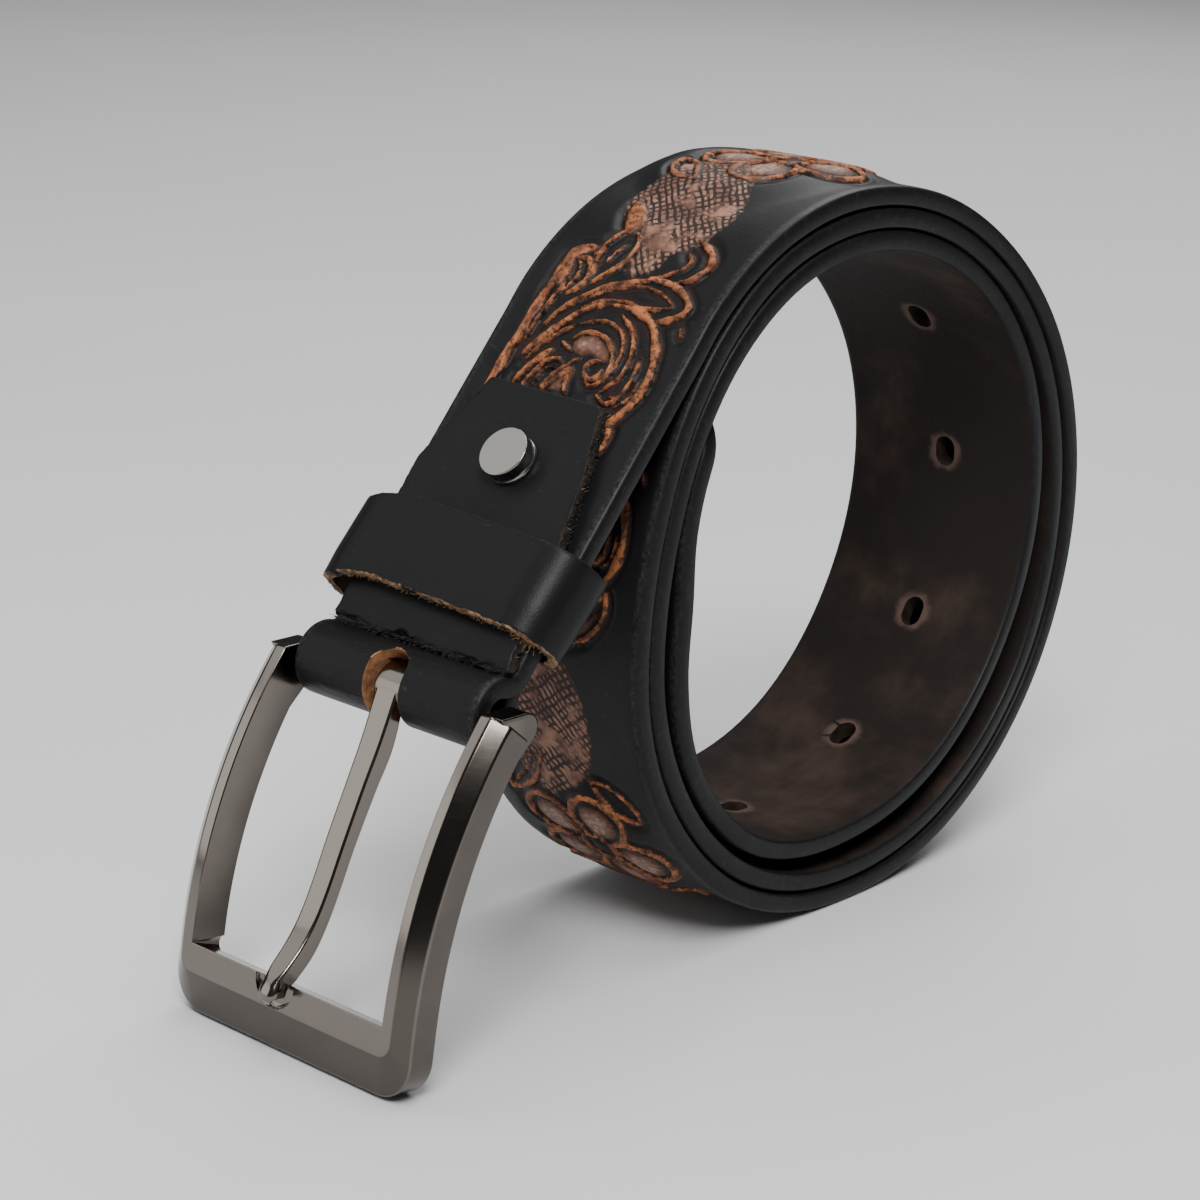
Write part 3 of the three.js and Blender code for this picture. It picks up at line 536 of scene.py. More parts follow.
def line_distance(place, line, half):
    """Distance to a line that narrows at both ends, less its half width there."""
    gap, t = segment_gaps(place, line[:-1], line[1:])
    share = (np.arange(len(line) - 1) + t) / (len(line) - 1)
    width = half * np.minimum(1, LINE_TIP + LINE_TAPER * np.minimum(share, 1 - share))
    width = width * (1 + LINE_WAVER * np.sin(share * 23 + line[0, 0] + 2 * line[0, 1]))
    return (gap - width).min(axis=1)


def area_distance(place, outline):
    """Distance to a closed outline, negative inside it."""
    a, b = outline, np.roll(outline, -1, axis=0)
    gap = segment_gaps(place, a, b)[0].min(axis=1)
    x, y = place[:, :1], place[:, 1:]
    spans = (a[:, 1] > y) != (b[:, 1] > y)
    rise = np.where(b[:, 1] == a[:, 1], 1e-9, b[:, 1] - a[:, 1])
    left = x < (b[:, 0] - a[:, 0]) * (y - a[:, 1]) / rise + a[:, 0]
    return np.where((spans & left).sum(axis=1) % 2 == 1, -gap, gap)


def nearest(s, x, shapes, distance):
    """The least distance from each place to a shape, looked for only near the shape."""
    best = np.full(s.shape, FAR_OFF)
    for shape in shapes:
        outline = shape[1] if isinstance(shape, tuple) else shape
        low, high = outline.min(axis=0) - LOOK_WITHIN, outline.max(axis=0) + LOOK_WITHIN
        near = (s > low[0]) & (s < high[0]) & (x > low[1]) & (x < high[1])
        if near.any():
            place = np.stack([s[near], x[near]], axis=1)
            best[near] = np.minimum(best[near], distance(place, shape))
    return best


def relief(s, x, leather):
    """Height in mm of the tooled face, with the distances that its finish needs."""
    lines, copper, matte, weave = motifs()
    ridge = nearest(s, x, lines, lambda place, line: line_distance(place, line[1], line[0]))
    ridge = np.minimum(ridge, nearest(s, x, copper, area_distance) * COPPER_FALL)
    lens = nearest(s, x, matte, area_distance)
    cloth = nearest(s, x, weave, area_distance)
    carved = smooth(*CARVE_FALL, ridge) * smooth(*WEAVE_EDGE, cloth)
    top = smooth(*RIDGE_FALL, ridge)
    height = (leather.ridge_rise * top - leather.carve_depth * carved * (1 - top)) / MM
    raised = smooth(*LENS_EDGE, lens)
    dished = LENS_RISE - LENS_DEPTH * smooth(*LENS_DISH, lens)
    height = height * (1 - raised) + raised * dished
    height += leather.petal_rise / MM * embossed(s, x)
    return height, ridge, np.maximum(cloth, WEAVE_MARGIN - ridge), lens


def embossed(s, x):
    """How far the leather swells under each flower, from 0 to 1."""
    swell = np.zeros(s.shape)
    for motif, start in TOOLING:
        if "bloom" in motif:
            out = np.hypot((s - start - SWELL_PLACE[0]) / SWELL_SIZE[0],
                           (x - SWELL_PLACE[1]) / SWELL_SIZE[1])
            swell = np.maximum(swell, smooth(*SWELL_EDGE, out))
    return swell


class Strip:
    """Points and faces of a leather strip, with named marks on every point."""

    def __init__(self, *labels):
        self.labels = labels
        self.points, self.marks, self.faces = [], [], []
        self.count = 0

    def add(self, points, *marks):
        n = len(points)
        columns = [np.broadcast_to(np.asarray(c, float), (n,)) for c in marks]
        self.points.append(points)
        self.marks.append(np.stack(columns, axis=1))
        self.count += n
        return np.arange(self.count - n, self.count)

    def piece(self, name, materials):
        marks = dict(zip(self.labels, np.vstack(self.marks).T))
        return facing_out(new_mesh(name, np.vstack(self.points), self.faces, materials, marks))


def section(thick, face_columns, back_columns, round_face, round_back, left, right):
    """One turn round a strip's section: w, dx, d and side (0 face, 1 edge, 2 back)."""
    mid, half = (right - left) / 2, (right + left) / 2
    t = thick / 2
    edge = []
    for turn, side in ((15, 0.5), (45, 1), (80, 1)):
        c, s = unit(turn)
        edge.append((1, -round_face * (1 - s), t - round_face * (1 - c), side))
    edge.append((1, 0, -0.1 * t, 1))
    for turn, side in ((10, 1), (45, 1), (75, 1.5)):
        c, s = unit(turn)
        edge.append((1, -round_back * (1 - c), -t + round_back * (1 - s), side))
    face = [((x - mid) / half, 0, t, 0) for x in face_columns]
    back = [((x - mid) / half, 0, -t, 2) for x in back_columns]
    mirrored = [(-w, -dx, d, side) for w, dx, d, side in edge[::-1]]
    return np.array([*face, *edge, *back, *mirrored], float)


def strap_stations():
    """Stations along the strap, and the first and last of them that have fine tooling."""
    close = np.arange(TOOLED[0], CLOSE_END, CLOSE_STATION)
    tooled = np.concatenate([close, np.arange(close[-1] + WIDE_STATION, TOOLED[1], WIDE_STATION)])
    before = [np.arange(PATH[0, 0], FOLD_SPAN[0], FLAP_STATION),
              np.arange(*FOLD_SPAN, FOLD_STATION), np.arange(8, TOOLED[0], WIDE_STATION)]
    tip = PATH[-60::2, 0]
    after = [np.arange(tooled[-1] + WIDE_STATION, tip[0] - 1.5, COIL_STATION), tip]
    first = sum(len(part) for part in before)
    return np.concatenate([*before, tooled, *after]), first, first + len(tooled) - 1


def strap_mesh(leather):
    """The whole strap: fold, lead and coil, with a fine tooled face on its outer turn."""
    stations, first, last = strap_stations()
    columns = np.linspace(TOOLED_LEFT, TOOLED_RIGHT, COLUMNS + 1)
    ring = section(STRAP_THICK, [STRAP_FACE[0], *columns, STRAP_FACE[1]],
                   np.linspace(*STRAP_BACK, 9), *STRAP_ROUNDING, STRAP_LEFT, STRAP_RIGHT)
    size = len(ring)
    strip = Strip("along", "across", "side", "ridge", "weave", "lens")
    w, dx, d, side = ring.T
    for s in stations:
        swell = leather.petal_rise / MM * embossed(np.full(size, s), STRAP_MID + w * STRAP_HALF)
        points = strap_place(s, w, dx, d + swell * np.clip(d / (STRAP_THICK / 2), 0, 1))
        points[:, 2] = np.maximum(points[:, 2], 0)
        strip.add(points, s, points[:, 0], side, FAR_OFF, FAR_OFF, FAR_OFF)
    fine_s = np.interp(np.arange((last - first) * FINE_PER_STATION + 1) / FINE_PER_STATION,
                       np.arange(last - first + 1), stations[first:last + 1])
    fine_x = np.linspace(TOOLED_LEFT, TOOLED_RIGHT, COLUMNS * FINE_PER_COLUMN + 1)
    grid_s, grid_x = np.meshgrid(fine_s, fine_x, indexing="ij")
    height, *finish = relief(grid_s.ravel(), grid_x.ravel(), leather)
    w = (grid_x.ravel() - STRAP_MID) / STRAP_HALF
    points = strap_place(grid_s.ravel(), w, 0, STRAP_THICK / 2 + height)
    points[:, 2] = np.maximum(points[:, 2], 0.02)
    fine = strip.add(points, grid_s.ravel(), points[:, 0], 0, *finish).reshape(grid_s.shape)
    strip.faces += strip_faces(len(stations), size, first, last, fine)
    strip.faces += [list(range(size))[::-1], [(len(stations) - 1) * size + j for j in range(size)]]
    return strip


def strip_faces(stations, size, first, last, fine):
    """Quads round the coarse rings, with the fine patch let into the tooled columns."""
    faces = []
    ids = np.arange(stations * size).reshape(stations, size)
    for i in range(first, last + 1):
        row = (i - first) * FINE_PER_STATION
        ids[i, 1:COLUMNS + 2] = fine[row, ::FINE_PER_COLUMN]
    for i in range(stations - 1):
        inside = first <= i < last
        for j in range(size):
            k = (j + 1) % size
            if inside and 1 <= j <= COLUMNS:
                continue
            quad = [ids[i, j], ids[i, k], ids[i + 1, k], ids[i + 1, j]]
            row = (i - first) * FINE_PER_STATION
            if inside and j == 0:
                quad[2:3] = list(fine[row + 1:row + FINE_PER_STATION, 0]) + [ids[i + 1, k]]
            if inside and j == COLUMNS + 1:
                quad += list(fine[row + 1:row + FINE_PER_STATION, -1][::-1])
            at = (j - 1) * FINE_PER_COLUMN
            if i == first - 1 and 1 <= j <= COLUMNS:
                quad[3:3] = list(fine[0, at + 1:at + FINE_PER_COLUMN][::-1])
            if i == last and 1 <= j <= COLUMNS:
                quad[1:1] = list(fine[-1, at + 1:at + FINE_PER_COLUMN])
            faces.append([int(q) for q in quad])
    a, b = fine[:-1, :-1].ravel(), fine[:-1, 1:].ravel()
    c, d = fine[1:, 1:].ravel(), fine[1:, :-1].ravel()
    faces += np.stack([a, b, c, d], axis=1).tolist()
    return faces


def new_mesh(name, points, faces, materials, marks=None, sharp=None):
    """A mesh object from points in mm; marks become its attributes."""
    mesh = bpy.data.meshes.new(name)
    used = sorted({i for face in faces for i in face})
    remap = np.full(len(points), -1)
    remap[used] = np.arange(len(used))
    mesh.from_pydata((np.asarray(points)[used] * MM).tolist(), [],
                     [[int(remap[i]) for i in face] for face in faces])
    for label, values in (marks or {}).items():
        layer = mesh.attributes.new(label, "FLOAT", "POINT")
        layer.data.foreach_set("value", np.asarray(values)[used].astype(np.float32))
    for material in materials:
        mesh.materials.append(material)
    mesh.polygons.foreach_set("use_smooth", [True] * len(mesh.polygons))
    if sharp is not None:
        mesh.set_sharp_from_angle(angle=math.radians(sharp))
    mesh.validate()
    piece = bpy.data.objects.new(name, mesh)
    bpy.context.scene.collection.objects.link(piece)
    return piece


def applied(piece):
    """The piece with its modifiers made part of a plain mesh."""
    bpy.context.view_layer.update()
    graph = bpy.context.evaluated_depsgraph_get()
    mesh = bpy.data.meshes.new_from_object(piece.evaluated_get(graph))
    piece.modifiers.clear()
    piece.data = mesh
    return piece


def boolean(piece, others, operation="DIFFERENCE"):
    """Cuts or joins the other solids into the piece, and removes them."""
    for k, other in enumerate(others):
        modifier = piece.modifiers.new(f"part_{k}", "BOOLEAN")
        modifier.operation = operation
        modifier.solver = "MANIFOLD"
        modifier.object = other
    applied(piece)
    for other in others:
        bpy.data.objects.remove(other)
    relabel(piece.data)
    return piece


def relabel(mesh):
    """Gives the corners made by a cut the marks of the nearest corner that has its own."""
    marks = [m for m in mesh.attributes if m.domain == "POINT" and m.data_type == "FLOAT"]
    if not marks:
        return
    values = np.zeros((len(marks), len(mesh.vertices)))
    for row, mark in zip(values, marks):
        mark.data.foreach_get("value", row)
    bare = ~values.any(axis=0)
    places = [vertex.co for vertex in mesh.vertices]
    marked = np.flatnonzero(~bare)
    tree = KDTree(len(marked))
    for k in marked:
        tree.insert(places[k], int(k))
    tree.balance()
    for k in np.flatnonzero(bare):
        values[:, k] = values[:, tree.find(places[k])[1]]
    for row, mark in zip(values, marks):
        mark.data.foreach_set("value", row)


def prism(name, outline, low, high, place, material, sharp=None):
    """A solid between two heights from a closed outline; place puts its points in mm."""
    points = [place(a, b, h) for h in (low, high) for a, b in outline]
    materials = [material] if material else []
    return facing_out(new_mesh(name, points, loft_faces(2, len(outline)), materials, sharp=sharp))


def facing_out(piece):
    """Turns the faces round where the closed mesh came inside out."""
    mesh = piece.data
    mesh.calc_loop_triangles()
    co = np.array([v.co for v in mesh.vertices])
    tri = np.array([t.vertices for t in mesh.loop_triangles])
    volume = np.einsum("ij,ij->i", co[tri[:, 0]], np.cross(co[tri[:, 1]], co[tri[:, 2]])).sum()
    if volume < 0:
        mesh.flip_normals()
    return piece


def round_outline(radius, sides=48, centre=(0, 0)):
    """A circle as closed outline."""
    return [(centre[0] + radius * math.cos(t), centre[1] + radius * math.sin(t))
            for t in np.linspace(0, 2 * math.pi, sides, endpoint=False)]


def on_lead(a, b, h):
    """a across, b up the lead, h off its face."""
    y, z = lead_point(h, b)
    return (a, y, z)


def round_bar(a, b, h):
    """A disc outline in the plane across the bar, h along it."""
    return (h, BAR_Y + a, BAR_Z + b)


def rivet_hole(low, high, material):
    """A cutter for the rivet's post, between two heights off the lead's middle."""
    outline = round_outline(RIVET_HOLE, 24, (RIVET_X, RIVET_U))
    return prism("rivet_hole", outline, low, high, on_lead, material)


def size_hole_place(angle):
    """Puts the points of a size hole: along the strap, across it, and out from just inside."""
    r = coil_radius(np.array([float(angle)]))[0] - STRAP_THICK - HOLE_OVERRUN
    cos, sin = unit(angle)

    def place(a, b, h):
        return (b, COIL_Y + (r + h) * sin + a * cos, COIL_Z + (r + h) * cos - a * sin)
    return place


def oval(length, width):
    """A slot with round ends as closed outline."""
    straight = (length - width) / 2
    half = width / 2
    return [(math.copysign(straight, math.cos(t)) + half * math.cos(t), half * math.sin(t))
            for t in np.linspace(0, 2 * math.pi, 28, endpoint=False) + 0.05]


def slot_outline():
    """The slot of the tongue, on the lead: round above, open past the fold."""
    centre = SLOT_TOP - SLOT_HALF
    top = [(TONGUE_X + SLOT_HALF * math.cos(t), centre + SLOT_HALF * math.sin(t))
           for t in np.linspace(0, math.pi, 24)]
    return [*top, (TONGUE_X - SLOT_HALF, SLOT_BOTTOM), (TONGUE_X + SLOT_HALF, SLOT_BOTTOM)]


class Value:
    """A number, colour or place in a node tree, which +, - and * combine by Math nodes."""

    def __init__(self, nodes, socket):
        self.nodes, self.socket = nodes, socket

    def __add__(self, other):
        return self.nodes.math("ADD", self, other)

    def __sub__(self, other):
        return self.nodes.math("SUBTRACT", self, other)

    def __mul__(self, other):
        return self.nodes.math("MULTIPLY", self, other)


class Nodes:
    """A node tree under construction: add() makes a node and fills its sockets."""

    def __init__(self, tree):
        self.tree = tree

    def put(self, node, inputs):
        for key, value in inputs.items():
            if isinstance(value, Value):
                self.tree.links.new(value.socket, node.inputs[key])
            else:
                node.inputs[key].default_value = value

    def add(self, kind, inputs, out=0, **options):
        node = self.tree.nodes.new(kind)
        for key, value in options.items():
            setattr(node, key, value)
        self.put(node, inputs)
        return Value(self, node.outputs[out])


class Finish(Nodes):
    """A material under construction, with the nodes that finishes share."""

    def __init__(self, name):
        self.material = bpy.data.materials.new(name)
        self.material.use_nodes = True
        super().__init__(self.material.node_tree)

    def math(self, operation, a, b=0.0, clamp=False):
        return self.add("ShaderNodeMath", {0: a, 1: b}, operation=operation, use_clamp=clamp)

    def mix(self, share, *colours):
        a, b = (c if isinstance(c, Value) else (*c, 1.0) for c in colours)
        return self.add("ShaderNodeMix", {0: share, 6: a, 7: b}, out=2, data_type="RGBA")

    def ramp(self, value, low, high, to_low=0.0, to_high=1.0):
        return self.add("ShaderNodeMapRange", {0: value, 1: low, 2: high, 3: to_low, 4: to_high},
                        interpolation_type="SMOOTHSTEP")

    def attribute(self, name):
        return self.add("ShaderNodeAttribute", {}, out=2, attribute_name=name)

    def noise(self, where, scale, detail=3.0, rough=0.55):
        return self.add("ShaderNodeTexNoise", {"Vector": where, "Scale": scale, "Detail": detail,
                                               "Roughness": rough})

    def uneven(self, where, scale, spread=1.0, detail=3.0, rough=0.55):
        """Noise round zero."""
        centred = self.noise(where, scale, detail, rough) - 0.5
        return centred * spread if spread != 1 else centred

    def cells(self, where, scale, feature="DISTANCE_TO_EDGE"):
        return self.add("ShaderNodeTexVoronoi", {"Vector": where, "Scale": scale}, feature=feature)

    def place(self, stretch=(1, 1, 1), turn=(0, 0, 0)):
        where = self.add("ShaderNodeTexCoord", {}, out=3)
        return self.add("ShaderNodeMapping", {"Vector": where, "Scale": stretch, "Rotation": turn})

    def bump(self, height, strength, distance, normal=None):
        inputs = {"Height": height, "Strength": strength, "Distance": distance}
        if normal:
            inputs["Normal"] = normal
        return self.add("ShaderNodeBump", inputs)

    def done(self, **inputs):
        shader = self.tree.nodes["Principled BSDF"]
        self.put(shader, {key.replace("_", " "): value for key, value in inputs.items()})
        return self.material


def shade(colour, share):
    """The colour made darker or lighter."""
    return [c * share for c in colour]


def shared(name, make, *values):
    """A finish that several pieces wear, made once."""
    return bpy.data.materials.get(name) or make(name, *values)


def leather_grain(f, where):
    """Fine pebble and a slight swell of dressed leather, as a bump."""
    pebble = f.bump(f.ramp(f.cells(where, 1700), 0.0, 0.25), 0.16, 0.00005)
    return f.bump(f.noise(where, 230), 0.3, 0.0002, pebble)


def dyed_face(f, leather, cloud, scale, turn, share, scuff):
    """Black dye, a little uneven, with short scratches that all run roughly one way."""
    colour = f.mix(cloud, leather.dye, shade(leather.dye, 1.7))
    scratches = f.ramp(f.noise(f.place((1, 9, 2), turn), scale, 2), 0.67, 0.78)
    return f.mix(scratches * share, colour, scuff)


def plain_leather(name, leather):
    """Near-black satin leather with raw cut edges, for the tab and the keeper."""
    f = Finish(name)
    where = f.place()
    side, raw = f.attribute("side"), f.attribute("raw")
    cloud = f.noise(where, 60)
    colour = dyed_face(f, leather, cloud, 330, (0.3, 0.9, 0.2), 0.15, PLAIN_SCUFF)
    edge = f.ramp(side, 0.5, 1.0) * f.ramp(side, 1.5, 1.1)
    fibre = f.noise(where, 1300, 3, 0.7)
    tan = f.mix(f.ramp(fibre, 0.3, 0.7), leather.raw_dark, leather.fibre)
    patchy = f.ramp(f.noise(where, 300, 4, 0.6), 0.36, 0.56)
    colour = f.mix(f.math("POWER", edge, 2.0) * raw * patchy, colour, tan)
    colour = f.mix(f.ramp(side, 1.6, 1.95), colour, leather.flesh_light)
    rough = f.math("ADD", f.ramp(cloud, 0.3, 0.75, 0.42, 0.54), edge * 0.25, True)
    normal = f.bump(fibre * edge, 0.8, 0.0003, leather_grain(f, where))
    return f.done(Base_Color=colour, Roughness=rough, Normal=normal,
                  Specular_IOR_Level=LEATHER_GLOSS)


def raw_leather(name, dark, light):
    """Cut leather: a fuzzy core between two browns."""
    f = Finish(name)
    where = f.place()
    colour = f.mix(f.ramp(f.noise(where, 420), 0.3, 0.7), dark, light)
    normal = f.bump(f.noise(where, 1400, 4, 0.7), 0.9, 0.0003)
    return f.done(Base_Color=colour, Roughness=0.9, Normal=normal, Specular_IOR_Level=0.2)


def fibre_leather(name, colour):
    """Loose fibres at a cut edge."""
    f = Finish(name)
    tint = f.mix(f.noise(f.place(), 700, 2), shade(colour, 0.45), colour)
    return f.done(Base_Color=tint, Roughness=0.8, Specular_IOR_Level=0.2)


def tooled_leather(leather):
    """The strap: satin black face, copper ridges, woven patches, edges and corners with painted
    highlights, brown flesh.
    """
    f = Finish("tooled_strap_leather")
    where = f.place()
    along, across, side = (f.attribute(mark) for mark in ("along", "across", "side"))
    cloud = f.noise(where, 45)
    colour = dyed_face(f, leather, cloud, 300, (0.2, 0.8, 0.1), 0.22, STRAP_SCUFF)
    colour, height, matte = tooled_colour(f, where, along, across, colour, leather)
    edge = f.ramp(side, 0.35, 0.95) * f.ramp(side, 1.95, 1.3)
    fine = f.ramp(f.noise(where, 800), 0.5, 0.8)
    # Painted highlight: pale grey specks along the cut edges, where they would catch the light.
    colour = f.mix(edge * (fine * 0.35), colour, EDGE_HIGHLIGHT_TONE)
    # Painted highlight: pale grey on the rounded corners between face and edge, broken into specks.
    corner = f.ramp(side, 0.05, 0.4) * f.ramp(side, 0.95, 0.5)
    rubbed = corner * f.ramp(f.noise(where, 1500, 4, 0.7), 0.35, 0.75)
    colour = f.mix(rubbed * 0.5, colour, CORNER_HIGHLIGHT_TONE)
    back = f.ramp(side, 1.35, 1.8)
    colour = f.mix(back, colour, flesh_colour(f, where, leather))
    colour = f.mix(slot_rim(f, where, along, across, side), colour, leather.raw)
    fold = f.ramp(along, 9.5, 6.0) * f.ramp(side, 0.6, 0.3)
    crease = f.ramp(f.noise(f.place((0.6, 3, 3), (0.5, 0.3, 0.2)), 130, 4, 0.6), 0.35, 0.65)
    normal = f.bump(crease * fold, 0.25, 0.0004, leather_grain(f, where))
    normal = f.bump(height, 0.6, 0.0003, normal)
    normal = f.bump(f.noise(where, 900, 4, 0.7) * back, 0.5, 0.0003, normal)
    rough = f.ramp(cloud, 0.3, 0.75, 0.40, 0.52) + matte * 0.06
    rough = f.math("ADD", rough, back * 0.34, True)
    return f.done(Base_Color=colour, Roughness=rough, Normal=normal,
                  Specular_IOR_Level=LEATHER_GLOSS)


def tooled_colour(f, where, along, across, ground, leather):
    """Colour of the tooled band over its ground, with its fine height and matte share."""
    ridge, weave, lens = (f.attribute(mark) for mark in ("ridge", "weave", "lens"))
    wander = f.uneven(where, 620, 1.0, 4, 0.65)
    specks = f.ramp(f.noise(where, 850, 4, 0.68), 0.38, 0.54)
    copper = f.ramp(ridge + wander, 0.10, -0.16) * (specks * 0.8 + 0.2)
    stain = f.ramp(ridge, 1.3, 0.1) * f.ramp(f.noise(where, 260), 0.32, 0.66)
    colour = f.mix(stain * 0.7, ground, COPPER_STAIN)
    rubbed = f.ramp(f.noise(where, 330, 4, 0.65), 0.36, 0.62)
    bright = f.mix(rubbed, leather.copper_dark, leather.copper)
    # Painted highlight: pale spots of sheen on the copper ridges.
    pale = f.ramp(f.noise(where, 520, 2), 0.62, 0.76)
    bright = f.mix(pale * 0.45, bright, leather.copper_sheen_spots)
    colour = f.mix(copper, colour, bright)
    patch = f.ramp(weave + wander * 2.0, 0.5, -0.4)
    strand, cloth = weave_cloth(f, where, along, across, leather)
    colour = f.mix(patch, colour, cloth)
    seed = f.ramp(f.cells(where, 1050, "F1"), 0.3, 0.62)
    middle = f.ramp(lens + wander, 0.25, -0.35) * f.ramp(ridge, -0.05, 0.2)
    # Middle of each petal paler: partly its own tint, partly painted sheen.
    petal = f.mix(f.ramp(lens, -0.2, -2.2), leather.matte, leather.petal_tint_and_sheen)
    petal = f.mix(seed * 0.5, petal, SEED_DOT)
    colour = f.mix(middle * 0.92, colour, petal)
    height = f.ramp(ridge, 0.3, -0.35) + patch * strand - middle * (seed * 0.35)
    matte = f.math("MAXIMUM", f.math("MAXIMUM", copper, patch), middle)
    return colour, height, matte


def weave_cloth(f, where, along, across, leather):
    """Basket weave pressed into the leather, in two leaning directions of uneven strands."""
    swirl = f.uneven(where, 240, 1.9)
    lines = []
    for value, pitch, low, high in ((along * 0.64 + across * 0.77, 1.12, 0.13, 0.33),
                                    (across * 0.55 - along * 0.83, 1.28, 0.09, 0.30)):
        wave = f.math("PINGPONG", f.math("DIVIDE", value + swirl, pitch), 0.5)
        lines.append(f.ramp(wave, low, high))
    worn = f.ramp(f.noise(where, 190), 0.52, 0.66)
    broken = f.ramp(f.noise(where, 430, 2), 0.50, 0.66)
    cross = f.math("MAXIMUM", lines[0] * f.math("MAXIMUM", lines[1], broken), worn)
    spread = f.ramp(f.noise(where, 260, 4, 0.65), 0.34, 0.66)
    return cross, f.mix(cross, WEAVE_GAP, f.mix(spread, leather.weave_dark, leather.weave))


def slot_rim(f, where, along, across, side):
    """Undyed edge round the slot of the tongue, on the face of the fold."""
    over = f.math("MAXIMUM", along + 2.4, 0.0)
    beside = across - TONGUE_X
    reach = f.math("SQRT", over * over + beside * beside)
    rim = f.ramp(reach + f.uneven(where, 500, 1.3), SLOT_HALF + 0.05, SLOT_HALF - 0.15)
    rim = rim * f.ramp(beside, 2.4, 1.2)
    return rim * f.ramp(along, 20, 18) * f.ramp(side, 0.6, 0.3)


def flesh_colour(f, where, leather):
    """The back of the strap: dark brown with smudges, paler round the size holes."""
    smudge = f.ramp(f.noise(where, 38, 5, 0.62), 0.45, 0.72)
    streak = f.ramp(f.noise(f.place((3, 1, 1)), 140, 4, 0.6), 0.42, 0.75)
    colour = f.mix(smudge, leather.flesh, leather.flesh_light)
    colour = f.mix(streak * 0.4, colour, FLESH_STREAK)
    gap = None
    for angle in SIZE_HOLES:
        centre = Vector(size_hole_place(angle)(0, 0, HOLE_OVERRUN)) * MM
        reach = f.add("ShaderNodeVectorMath", {0: where, 1: centre}, out=1, operation="DISTANCE")
        gap = f.math("MINIMUM", gap, reach) if gap else reach
    rim = f.ramp(gap + f.noise(where, 480, 3, 0.6) * 0.0022, 0.0052, 0.0036)
    return f.mix(rim * 0.75, colour, leather.rim)


def metal(name, colour, rough, scratch_scale, uneven, mark=None):
    """Plated metal with fine scratches and uneven polish; a mark says where it is rubbed bright and
    where it is darkened, which on the frame's chamfer is painted shade.
    """
    f = Finish(name)
    where = f.place()
    scratches = f.noise(f.place((1, 1, 9), (0.4, 0.2, 0.3)), scratch_scale)
    cloud = f.noise(where, 70)
    tint = f.mix(cloud, shade(colour, 1 - uneven), colour)
    if mark:
        # Low marks darken the plating; on the frame's outer chamfer this is painted shade.
        rubbed = f.ramp(f.attribute(mark) + f.uneven(where, 160, 0.3), 0.3, 0.9)
        tint = f.mix(rubbed, shade(colour, 0.5), tint)
    roughness = (f.ramp(cloud, 0.3, 0.7, rough * 0.85, rough * 1.2)
                 + f.ramp(scratches, 0.55, 0.85, 0.0, 0.05))
    return f.done(Base_Color=tint, Metallic=1.0, Roughness=roughness,
                  Normal=f.bump(scratches, 0.012, 0.0001))


def colour_property(name, description, default):
    """A colour that a user can change."""
    return bpy.props.FloatVectorProperty(name=name, description=description, subtype="COLOR",
                                         size=3, default=default)


def length_property(name, description, default):
    """A length, whose default is given in mm."""
    return bpy.props.FloatProperty(name=name, description=description, unit="LENGTH", min=0.0,
                                   precision=5, default=default * MM)


def power_property(name, description, default):
    """A light's power."""
    return bpy.props.FloatProperty(name=name, description=description, unit="POWER", min=0.0,
                                   default=default)


class LeatherSettings(bpy.types.PropertyGroup):
    """Relief and colours of the leather."""
    ridge_rise: length_property("Ridge height", "How far the tooled ridges stand up", 0.2)
    carve_depth: length_property("Carved depth", "How deep the leather is cut beside a ridge", 0.5)
    petal_rise: length_property("Flower height", "How far the leather swells under a flower", 1.7)
    fibre_radius: length_property("Fibre radius", "Half the thickness of a loose fibre", 0.045)
    dye: colour_property("Dye", "Black dye of the face", (0.0046, 0.0047, 0.0052))
    copper: colour_property("Ridge", "Rubbed copper of the tooled ridges", (0.37, 0.130, 0.050))
    copper_dark: colour_property("Ridge shade", "Darker copper of the ridges", (0.13, 0.046, 0.022))
    # Painted highlight: pale pinkish spots on the copper ridges, standing in for their sheen.
    copper_sheen_spots: colour_property("Ridge highlight", "Pale, worn spots of the ridges",
                                 (0.50, 0.25, 0.15))
    matte: colour_property("Petal", "Edge of the raised, stippled parts of petals and leaves",
                           (0.13, 0.056, 0.033))
    # Partly the petals' own paler middle, partly a painted sheen.
    petal_tint_and_sheen: colour_property("Petal middle", "Middle of the raised parts of petals and leaves",
                                 (0.36, 0.225, 0.175))
    weave: colour_property("Weave", "Pale brown of the woven patches", (0.29, 0.155, 0.105))
    weave_dark: colour_property("Weave shade", "Darker brown of the woven patches",
                                (0.115, 0.055, 0.040))
    raw: colour_property("Raw cut", "Undyed core of the leather", (0.36, 0.165, 0.075))
    raw_dark: colour_property("Raw cut shade", "Darker undyed core", (0.13, 0.055, 0.026))
    fibre: colour_property("Fibres", "Loose fibres at the cut edges", (0.40, 0.26, 0.14))
    flesh: colour_property("Flesh", "Back of the strap", (0.012, 0.0085, 0.0072))
    flesh_light: colour_property("Flesh smudge", "Paler smudges on the back", (0.040, 0.025, 0.019))
    rim: colour_property("Hole rim", "Rim of the size holes", (0.10, 0.062, 0.050))


class MetalSettings(bpy.types.PropertyGroup):
    """Colour and polish of the metal."""
    gunmetal: colour_property("Buckle", "Plating of the buckle", (0.195, 0.173, 0.153))
    nickel: colour_property("Rivet", "Plating of the rivet", (0.31, 0.297, 0.277))
    polish: bpy.props.FloatProperty(
        name="Roughness", description="Roughness of the buckle's plating", default=0.16,
        min=0.02, max=0.8, subtype="FACTOR")


